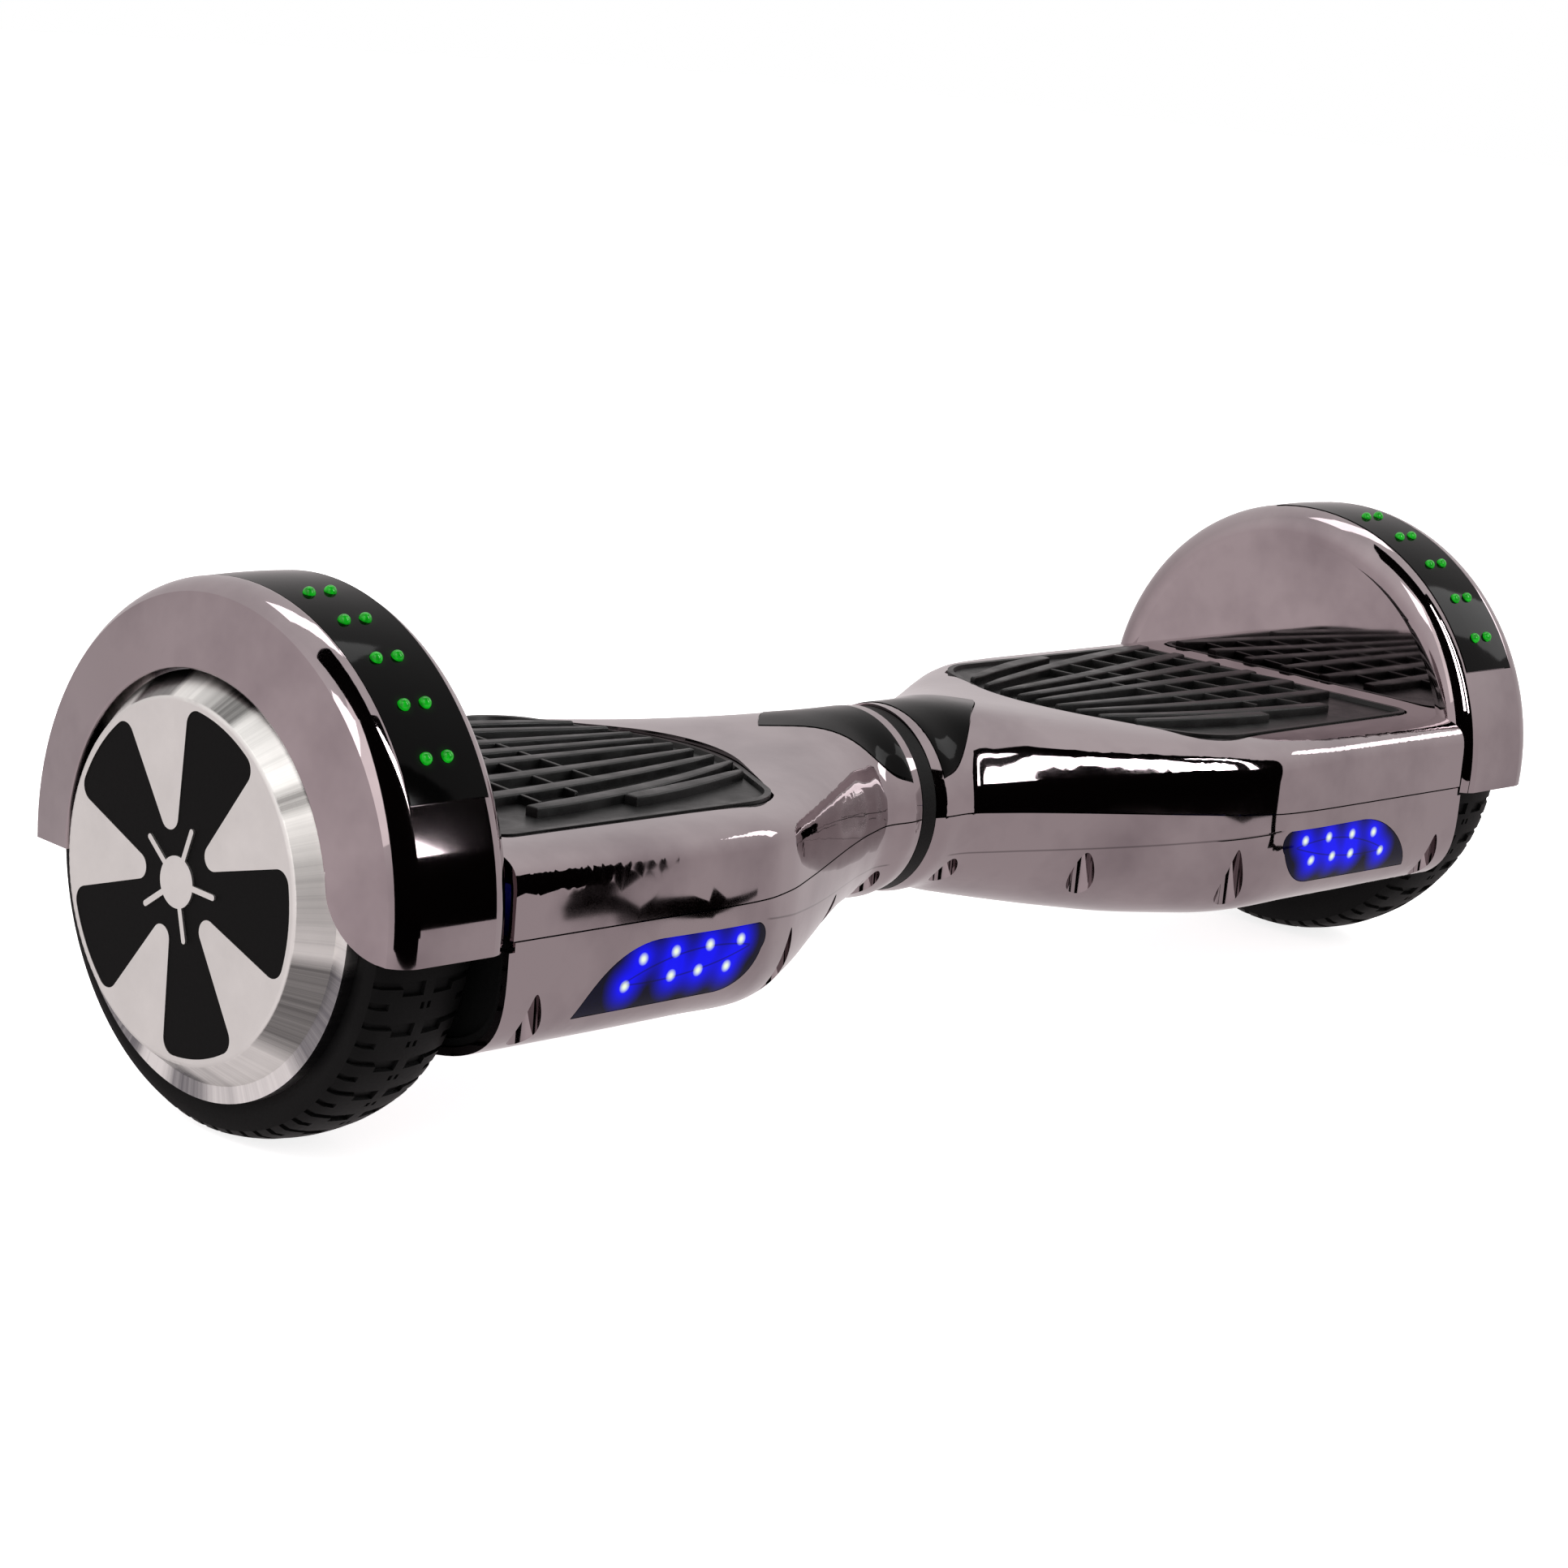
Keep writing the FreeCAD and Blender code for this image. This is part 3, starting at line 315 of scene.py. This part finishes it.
def lampGlow():
    # clear lens lit deep blue from behind, with a white point for each lamp, navy towards its edges,
    # and the outline of the leaf-shaped boss moulded inside it
    lamp = {"points": ((151, 68.5), (165.3, 68.6), (180.3, 68.3), (194.4, 67.6),
                       (156.5, 60.2), (169.4, 60.6), (181.3, 60.4), (201.1, 59.4)),
            "core": 1.25, "halo": 11.0, "leafFrom": 146.0, "leafTo": 203.0, "leafTip": 66.0, "leafFall": 6.0,
            "leafUp": 4.6, "leafDown": -2.6, "leafLine": 0.45}
    material, tree, shader, place = newMaterial("LitBlueAcrylic", IOR=1.49, Roughness=0.05,
                                                Specular_IOR_Level=0.12, Emission_Strength=1.0)
    x, y, z = addNode(tree, "ShaderNodeSeparateXYZ", Vector=place).outputs
    across = maths(tree, "ABSOLUTE", x)
    flat = addNode(tree, "ShaderNodeCombineXYZ", s0=across, s1=0.0, s2=z).outputs[0]
    nearest = 1.0
    halo = 0.0
    for px, pz in lamp["points"]:
        gap = addNode(tree, "ShaderNodeVectorMath", {"operation": "DISTANCE"}, s0=flat,
                      s1=(px * mm, 0, pz * mm)).outputs[1]
        fall = maths(tree, "POWER", remap(tree, gap, 1.0, 0.0, 0.0, lamp["halo"] * mm), 1.9)
        nearest = maths(tree, "MINIMUM", nearest, gap)
        halo = maths(tree, "ADD", halo, fall)
    part = remap(tree, across, 0.0, 1.0, lamp["leafFrom"] * mm, lamp["leafTo"] * mm)
    belly = maths(tree, "MULTIPLY", maths(tree, "MULTIPLY", part, maths(tree, "SUBTRACT", 1.0, part)), 4.0)
    chord = maths(tree, "SUBTRACT", z, maths(tree, "MULTIPLY_ADD", part, -lamp["leafFall"] * mm,
                                             lamp["leafTip"] * mm))
    above, below = (maths(tree, "ABSOLUTE", maths(tree, "MULTIPLY_ADD", belly, -lamp[k] * mm, chord))
                    for k in ("leafUp", "leafDown"))
    leaf = remap(tree, maths(tree, "MINIMUM", above, below), 1.0, 0.0, 0.0, lamp["leafLine"] * mm)
    leaf = maths(tree, "MULTIPLY", leaf, remap(tree, belly, 0.0, 1.0, 0.0, 0.05))
    core = remap(tree, nearest, 1.0, 0.0, lamp["core"] * 0.4 * mm, lamp["core"] * 1.8 * mm)
    ripple = noise(tree, place, 2.0, 2.0)
    deep = blendColours(tree, remap(tree, halo, 0.0, 1.0, 0.02, 0.6), colour("#00000C"), colour("#0505F2"))
    mid = blendColours(tree, remap(tree, halo, 0.0, 1.0, 0.75, 1.5), deep, colour("#0C18FF"))
    lined = blendColours(tree, maths(tree, "MULTIPLY", leaf, 0.75), mid, colour("#00002A"))
    lit = blendColours(tree, core, lined, colour("#F2FFE2"))
    tree.links.new(lit, shader.inputs["Emission Color"])
    tree.links.new(blendColours(tree, ripple, colour("#010108"), colour("#030318")),
                   shader.inputs["Base Color"])
    return material


print("finishes next")
chrome = smokedChrome()
pianoBlack = glossLacquer("PianoBlackPolycarbonate")
stripBlack = glossLacquer("PianoBlackLampStrip", ledSpots())
blackAbs = sparkedPlastic()
padBlack = padRubber()
tyreBlack = tyreRubber()
hubSilver = turnedAlloy("TurnedAluminiumPlate", "#F0EFEC", "#6E6D6C", 0.22, 0.42, 57.3)
bandSilver = turnedAlloy("TurnedAluminiumRim", "#F0EFED", "#77767A", 0.2, 0.34)
satinBlack = inlayLacquer()
dieCast = castMetal("DieCastAluminium", "#B9B9B7", "#8F8F8E", 1.4, 0.45)
zincSteel = castMetal("ZincPlatedSteel", "#C9CBCC", "#9A9C9E", 3.0, 0.3)
ironLaminate = castMetal("VarnishedIronLaminations", "#4A4A4C", "#2E2E30", 0.6, 0.4)
bronzeBush = castMetal("SinteredBronze", "#B07B44", "#7E5428", 0.8, 0.45)
copperWire = enamelledWire()
boardGreen = solderResist()
packBlue = shrinkWrap()
ledGreen = ledDome()
lampBlue = lampGlow()

nodeFinish = {
    "top_shell": chrome, "bottom_cover": chrome, "headlight_lens": lampBlue, "headlight_board": boardGreen,
    "wheel_liner": blackAbs, "fender_strip": stripBlack, "fender_leds": ledGreen, "neck_cap": pianoBlack,
    "axle_clamp": dieCast, "clamp_screws": zincSteel, "cover_screws": zincSteel, "motor_shaft": zincSteel,
    "stator": ironLaminate, "windings": copperWire, "bearings": zincSteel, "rim": bandSilver,
    "magnet_ring": ironLaminate, "motor_cover": dieCast, "hub_plate": hubSilver, "hub_inlay": satinBlack,
    "hub_cap": hubSilver, "tyre": tyreBlack, "foot_pad": padBlack, "sensor_board": boardGreen,
    "frame": dieCast, "pivot_tube": zincSteel, "pivot_bushes": bronzeBush, "pivot_circlip": zincSteel,
    "stop_pins": zincSteel,
    "neck_ring": blackAbs, "battery_pack": packBlue, "main_board": boardGreen, "power_button": pianoBlack,
    "charge_socket": blackAbs, "charge_cap": padBlack,
}


def plainName(name):
    for side in sides:
        if name.startswith(side + "_"):
            return name[len(side) + 1:]
    return name


for name, node in nodes.items():
    node.data.materials.clear()
    node.data.materials.append(nodeFinish[plainName(name)])
print("nodes finished")


# helpers for pieces
def finishPiece(mesh, name, material, body, slot, *stoodFor, smooth=40.0):
    # makes an object of a bmesh, in place, riding on a body
    bmesh.ops.remove_doubles(mesh, verts=mesh.verts, dist=1e-6)
    bmesh.ops.recalc_face_normals(mesh, faces=mesh.faces)
    data = bpy.data.meshes.new(name)
    mesh.to_mesh(data)
    mesh.free()
    data.materials.append(material)
    piece = bpy.data.objects.new(name, data)
    bpy.context.scene.collection.objects.link(piece)
    for face in data.polygons:
        face.use_smooth = True
    data.set_sharp_from_angle(angle=math.radians(smooth))
    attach(piece, body)
    if stoodFor:
        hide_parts(*stoodFor)
    return piece


def mirrorSide(mesh, side):
    if side < 0:
        bmesh.ops.scale(mesh, vec=(-1, 1, 1), verts=mesh.verts)
        bmesh.ops.reverse_faces(mesh, faces=mesh.faces)


# tyre with its tread
def buildTyre(label, side):
    # the outline is x and radius in millimetres, from the inner bead over the crown to the outer bead
    tyre = {"sectors": 216, "groove": 1.3, "draft": 0.25, "treadFrom": 78.5, "repeat": 6}
    profile = [(255.8, 62.1), (255.7, 66.5), (254.3, 72.0), (254.2, 76.5), (255.0, 79.3), (257.0, 81.2),
               (260.5, 82.3), (264.0, 83.1), (267.4, 83.5), (269.6, 83.7), (271.6, 83.8), (272.9, 83.85),
               (274.1, 83.85), (275.4, 83.8), (277.4, 83.7), (279.6, 83.5), (283.0, 83.1), (286.5, 82.3),
               (289.9, 81.2), (292.0, 79.3), (292.9, 76.5), (292.5, 72.6), (291.5, 70.6), (291.4, 62.1)]
    mesh = bmesh.new()
    line = [mesh.verts.new((x * mm, 0, axleHeight + r * mm)) for x, r in profile]
    edges = [mesh.edges.new(pair) for pair in zip(line, line[1:])]
    edges.append(mesh.edges.new((line[-1], line[0])))
    bmesh.ops.spin(mesh, geom=line + edges, cent=(0, 0, axleHeight), axis=(1, 0, 0), angle=2 * math.pi,
                   steps=tyre["sectors"], use_merge=True)
    bmesh.ops.recalc_face_normals(mesh, faces=mesh.faces)
    columns = [(a[0] + b[0]) / 2 for a, b in zip(profile, profile[1:])]
    cut = []
    for face in mesh.faces:
        middle = face.calc_center_median()
        y, z = middle.y, middle.z - axleHeight
        if math.hypot(y, z) < tyre["treadFrom"] * mm:
            continue
        column = min(range(len(columns)), key=lambda k: abs(columns[k] * mm - middle.x))
        turn = math.degrees(math.atan2(z, y)) % 360
        sector = int(round(turn / 360 * tyre["sectors"] - 0.5)) % tyre["sectors"]
        if grooved(column, sector % tyre["repeat"], columns):
            cut.append(face)
    bmesh.ops.inset_region(mesh, faces=cut, thickness=tyre["draft"] * mm, depth=0.0,
                           use_even_offset=True)
    moved = {v for face in cut for v in face.verts}
    for v in moved:
        out = Vector((0, v.co.y, v.co.z - axleHeight)).normalized()
        v.co -= out * tyre["groove"] * mm
    mirrorSide(mesh, side)
    return finishPiece(mesh, label + "_tyre_tread", tyreBlack, label + "_wheel", "tyre_rubber",
                       label + "_tyre", smooth=28.0)


def grooved(column, step, columns):
    # the tread repeats every six sectors: long and short shoulder sipes, and notched bars between them
    fromEdge = min(column, len(columns) - 1 - column)
    if fromEdge in (4, 5):
        return step in (0, 3)
    if fromEdge == 6:
        return step == 0
    if fromEdge in (7, 8, 9):
        return step in (0, 1)
    if fromEdge == 10:
        return step == 3
    return False


for label, side in sides.items():
    buildTyre(label, side)
print("tyres built")


# foot pad with its ribs
# each corner is x, y and its rounding; each rib is its two ends and its bow; each bar is its two ends
pad = {"corners": ((87.9, -5, 2), (87.9, 5, 2), (89.4, 14.5, 3), (92.1, 23.3, 3), (95.4, 30.6, 3),
                   (117.3, 71.2, 14), (241.7, 71.2, 9), (241.7, -71.2, 9), (117.3, -71.2, 14),
                   (95.4, -30.6, 3), (92.1, -23.3, 3), (89.4, -14.5, 3)),
       "base": 105.4, "floor": 105.9, "rim": 107.5, "ribTop": 109.25, "rimWidth": 2.2, "rimDraft": 0.6,
       "ribs": ((105, -40, 168, -53, 1.5), (98, -28, 209, -51, 4.5), (97, -18, 234, -33, 4.0),
                (97, -8, 237, -13, 2.5), (97, 2, 238, 7, 0.5), (97.5, 11.5, 238, 26, -1.0),
                (98.5, 21, 238, 45, -1.5), (100.5, 31, 237, 63, 3.0), (106, 43, 172, 62.5, 2.0)),
       "ribStart": 3.4, "ribEnd": 6.4, "ribSteps": 10, "ribFlare": 1.6, "ribFirst": 0.55, "ribLast": 0.8,
       "sunk": 0.2, "barSteps": 4, "barWidth": 1.3, "barLower": 0.35, "barRounding": 0.25,
       "bars": ((154, 44, 160, -26), (170, 54, 180, -40), (188, 58, 201, -46), (207, 60, 222, -32),
                (224, 62, 237, -10))}


def plate(mesh, corners, z0, z1):
    # a flat plate with rounded corners, whose upper faces are returned
    made = [mesh.verts.new((x * mm, y * mm, z0 * mm)) for x, y, rounding in corners]
    mesh.faces.new(made)
    for vert, corner in zip(made, corners):
        bmesh.ops.bevel(mesh, geom=[vert], affect="VERTICES", offset=corner[2] * mm, segments=8,
                        profile=0.5, material=-1)
    bmesh.ops.dissolve_degenerate(mesh, dist=1e-7, edges=mesh.edges)
    mesh.faces.ensure_lookup_table()
    raised = bmesh.ops.extrude_face_region(mesh, geom=list(mesh.faces))
    top = [g for g in raised["geom"] if isinstance(g, bmesh.types.BMVert)]
    bmesh.ops.translate(mesh, vec=(0, 0, (z1 - z0) * mm), verts=top)
    return [g for g in raised["geom"] if isinstance(g, bmesh.types.BMFace)]


def ridge(mesh, line, widths, z0, z1, rounding=0.7):
    # a raised bar along a line of points, as wide as widths says at each, with softened edges
    bar = bmesh.new()
    count = len(line)
    pair = None
    for k, (x, y) in enumerate(line):
        ahead = Vector(line[min(k + 1, count - 1)]) - Vector(line[max(k - 1, 0)])
        across = Vector((-ahead.y, ahead.x)).normalized() * widths[k] / 2
        spots = [Vector(((x + s * across.x) * mm, (y + s * across.y) * mm, z0 * mm)) for s in (-1, 1)]
        if pair is None:
            made = [bar.verts.new(spot) for spot in spots]
            pair = bar.edges.new(made)
        else:
            step = bmesh.ops.extrude_edge_only(bar, edges=[pair])["geom"]
            pair = [g for g in step if isinstance(g, bmesh.types.BMEdge)][0]
            near = sorted(pair.verts, key=lambda v: (v.co - spots[0]).length)
            near[0].co, near[1].co = spots
    raised = bmesh.ops.extrude_face_region(bar, geom=list(bar.faces))["geom"]
    bmesh.ops.translate(bar, vec=(0, 0, (z1 - z0) * mm),
                        verts=[g for g in raised if isinstance(g, bmesh.types.BMVert)])
    bmesh.ops.recalc_face_normals(bar, faces=bar.faces)
    top = [e for e in bar.edges
           if all(v.co.z > (z1 - 0.01) * mm for v in e.verts) and e.calc_face_angle(0) > 1]
    bmesh.ops.bevel(bar, geom=top, affect="EDGES", offset=rounding * mm, segments=3, profile=0.5,
                    material=-1)
    data = bpy.data.meshes.new("bar")
    bar.to_mesh(data)
    bar.free()
    mesh.from_mesh(data)
    bpy.data.meshes.remove(data)


def ribLine(x0, y0, x1, y1, bow):
    # the points of a gently bowed rib
    points = []
    for k in range(pad["ribSteps"] + 1):
        f = k / pad["ribSteps"]
        lift = 4 * f * (1 - f) * bow * (1 if y1 > 0 else -1)
        points.append((x0 + (x1 - x0) * f, y0 + (y1 - y0) * f + lift))
    return points


def buildPad(label, side):
    ribSteps, barSteps = pad["ribSteps"], pad["barSteps"]
    mesh = bmesh.new()
    lid = plate(mesh, pad["corners"], pad["base"], pad["rim"])
    bmesh.ops.recalc_face_normals(mesh, faces=mesh.faces)
    bmesh.ops.inset_region(mesh, faces=lid, thickness=pad["rimWidth"] * mm, depth=0.0)
    bmesh.ops.inset_region(mesh, faces=lid, thickness=pad["rimDraft"] * mm,
                           depth=(pad["floor"] - pad["rim"]) * mm)
    for x0, y0, x1, y1, bow in pad["ribs"]:
        line = ribLine(x0, y0, x1, y1, bow)
        flare = [min(1.0, pad["ribFlare"] * k / ribSteps) for k in range(ribSteps + 1)]
        widths = [pad["ribStart"] + (pad["ribEnd"] - pad["ribStart"]) * f for f in flare]
        widths[0] *= pad["ribFirst"]
        widths[-1] *= pad["ribLast"]
        ridge(mesh, line, widths, pad["base"] + pad["sunk"], pad["ribTop"])
    for x0, y0, x1, y1 in pad["bars"]:
        line = [(x0 + (x1 - x0) * k / barSteps, y0 + (y1 - y0) * k / barSteps)
                for k in range(barSteps + 1)]
        ridge(mesh, line, [pad["barWidth"]] * (barSteps + 1), pad["base"] + pad["sunk"],
              pad["ribTop"] - pad["barLower"], pad["barRounding"])
    mirrorSide(mesh, side)
    return finishPiece(mesh, label + "_pad_ribs", padBlack, label + "_pad", "pad_rubber",
                       label + "_foot_pad", smooth=32.0)


for label, side in sides.items():
    buildPad(label, side)
print("foot pads built")


# studio
# the flags and cards stand across the front at flagY; each is left, right, bottom, top in millimetres
studio = {"world": 1.0, "worldLeft": 1.32, "floor": "#FAF9F9", "floorGlow": 0.8, "flagY": -700,
          "ceiling": 1600,
          "flags": ((-850, -60, -150, 1600), (-60, 342, -58, 1600), (342, 383, -131, 1600)),
          "ledge": ((383, -139), (765, -180), (765, -170), (383, -116)),
          "overhead": (-900, 100, -700, 110), "windowStrength": 14.0,
          "windows": ((4, 110, 290, 1300), (196, 245, 270, 980)),
          "edgeCard": (-1700, -870, 350, 3000), "edgeStrength": 1.8}


def flatCard(name, material, corners):
    mesh = bmesh.new()
    mesh.faces.new([mesh.verts.new(Vector(c) * mm) for c in corners])
    data = bpy.data.meshes.new(name)
    mesh.to_mesh(data)
    mesh.free()
    data.materials.append(material)
    card = bpy.data.objects.new(name, data)
    bpy.context.scene.collection.objects.link(card)
    return card


def glowMaterial(name, tone, strength):
    material = bpy.data.materials.new(name)
    material.use_nodes = True
    tree = material.node_tree
    shader = tree.nodes["Principled BSDF"]
    shader.inputs["Base Color"].default_value = (0, 0, 0, 1)
    shader.inputs["Specular IOR Level"].default_value = 0.0
    shader.inputs["Roughness"].default_value = 1.0
    shader.inputs["Emission Color"].default_value = colour(tone)
    shader.inputs["Emission Strength"].default_value = strength
    return material


def onlyReflected(card):
    # seen in the plating alone: it neither shows, lights nor shades anything
    card.visible_camera = False
    card.visible_diffuse = False
    card.visible_shadow = False
    card.visible_transmission = False


def buildStudio():
    scene = bpy.context.scene
    paper, tree, shader, place = newMaterial("PaperSweep", Roughness=0.9)
    fibre = noise(tree, place, 4.0, 4.0)
    tree.links.new(blendColours(tree, fibre, colour("#F7F6F6"), colour(studio["floor"])),
                   shader.inputs["Base Color"])
    shader.inputs["Emission Color"].default_value = (1, 1, 1, 1)
    shader.inputs["Emission Strength"].default_value = studio["floorGlow"]
    floor = flatCard("floor", paper, ((-9000, -9000, 0), (9000, -9000, 0), (9000, 9000, 0),
                                      (-9000, 9000, 0)))
    floor.visible_glossy = False

    dark = glowMaterial("BlackFlag", "#060404", 1.0)
    bright = glowMaterial("WhiteCard", "#FFFFFF", studio["windowStrength"])
    edgeLight = glowMaterial("EdgeCard", "#FFFAF8", studio["edgeStrength"])

    def upright(name, material, spots, at):
        onlyReflected(flatCard(name, material, [(x, at, z) for x, z in spots]))

    def oblong(x0, x1, z0, z1):
        return ((x0, z0), (x1, z0), (x1, z1), (x0, z1))

    at = studio["flagY"]
    for k, flag in enumerate(studio["flags"]):
        upright("flag_%d" % k, dark, oblong(*flag), at)
    upright("flag_ledge", dark, studio["ledge"], at)
    x0, x1, y0, y1 = studio["overhead"]
    top = studio["ceiling"]
    onlyReflected(flatCard("flag_overhead", dark, ((x0, y0, top), (x1, y0, top), (x1, y1, top),
                                                   (x0, y1, top))))
    for k, window in enumerate(studio["windows"]):
        upright("card_window_%d" % k, bright, oblong(*window), at + 4)
    upright("card_edge", edgeLight, oblong(*studio["edgeCard"]), at + 4)

    world = bpy.data.worlds.new("studio")
    scene.world = world
    world.use_nodes = True
    tree = world.node_tree
    tree.nodes.clear()
    direction = addNode(tree, "ShaderNodeTexCoord").outputs["Generated"]
    height = addNode(tree, "ShaderNodeSeparateXYZ", Vector=direction).outputs[2]
    sky = blendColours(tree, remap(tree, height, 0.0, 1.0, 0.0, 0.9), colour("#D8D0D1"), colour("#FFFDFC"))
    # brighter to the left, where the hubs and the fenders' flat sides look
    sideways = addNode(tree, "ShaderNodeSeparateXYZ", Vector=direction).outputs[0]
    lift = remap(tree, sideways, studio["worldLeft"], studio["world"], -0.9, -0.35)
    soft = addNode(tree, "ShaderNodeBackground", Color=sky, Strength=lift)
    plain = addNode(tree, "ShaderNodeBackground", Color=(1, 1, 1, 1), Strength=1.0)
    seen = addNode(tree, "ShaderNodeLightPath").outputs["Is Camera Ray"]
    mixed = addNode(tree, "ShaderNodeMixShader", s0=seen, s1=soft.outputs[0], s2=plain.outputs[0])
    addNode(tree, "ShaderNodeOutputWorld", Surface=mixed.outputs[0])

    def softbox(name, place, target, width, height, power):
        light = bpy.data.lights.new(name, "AREA")
        light.shape = "RECTANGLE"
        light.size, light.size_y = width, height
        light.energy = power
        lamp = bpy.data.objects.new(name, light)
        scene.collection.objects.link(lamp)
        lamp.location = place
        lamp.rotation_euler = (Vector(target) - Vector(place)).to_track_quat("-Z", "Y").to_euler()
        return lamp

    softbox("softbox_left", (-1.5, -0.6, 1.5), (0, 0, 0.1), 0.9, 0.6, 5)
    softbox("softbox_top", (0.3, 0.5, 1.8), (0, 0, 0.1), 1.4, 0.5, 6)
    softbox("softbox_right", (1.7, -0.5, 1.1), (0, 0, 0.1), 0.5, 0.9, 4)


def buildCamera():
    view = {"place": (-0.9823, -0.8899, 0.3699), "azimuth": -46.60, "elevation": 12.216, "roll": 5.028,
            "lens": 85.39}
    scene = bpy.context.scene
    az, el, roll = (math.radians(view[k]) for k in ("azimuth", "elevation", "roll"))
    back = Vector((math.sin(az) * math.cos(el), -math.cos(az) * math.cos(el), math.sin(el)))
    level = Vector((math.cos(az), math.sin(az), 0))
    above = back.cross(level)
    right = math.cos(roll) * level + math.sin(roll) * above
    up = back.cross(right)
    data = bpy.data.cameras.new("camera")
    data.sensor_width = 36
    data.lens = view["lens"]
    data.clip_start = 0.05
    data.clip_end = 60
    camera = bpy.data.objects.new("camera", data)
    scene.collection.objects.link(camera)
    turn = Matrix((right, up, back)).transposed().to_4x4()
    camera.matrix_world = Matrix.Translation(Vector(view["place"])) @ turn
    scene.camera = camera
    scene.view_settings.view_transform = "Standard"


buildStudio()
buildCamera()
print("studio built")
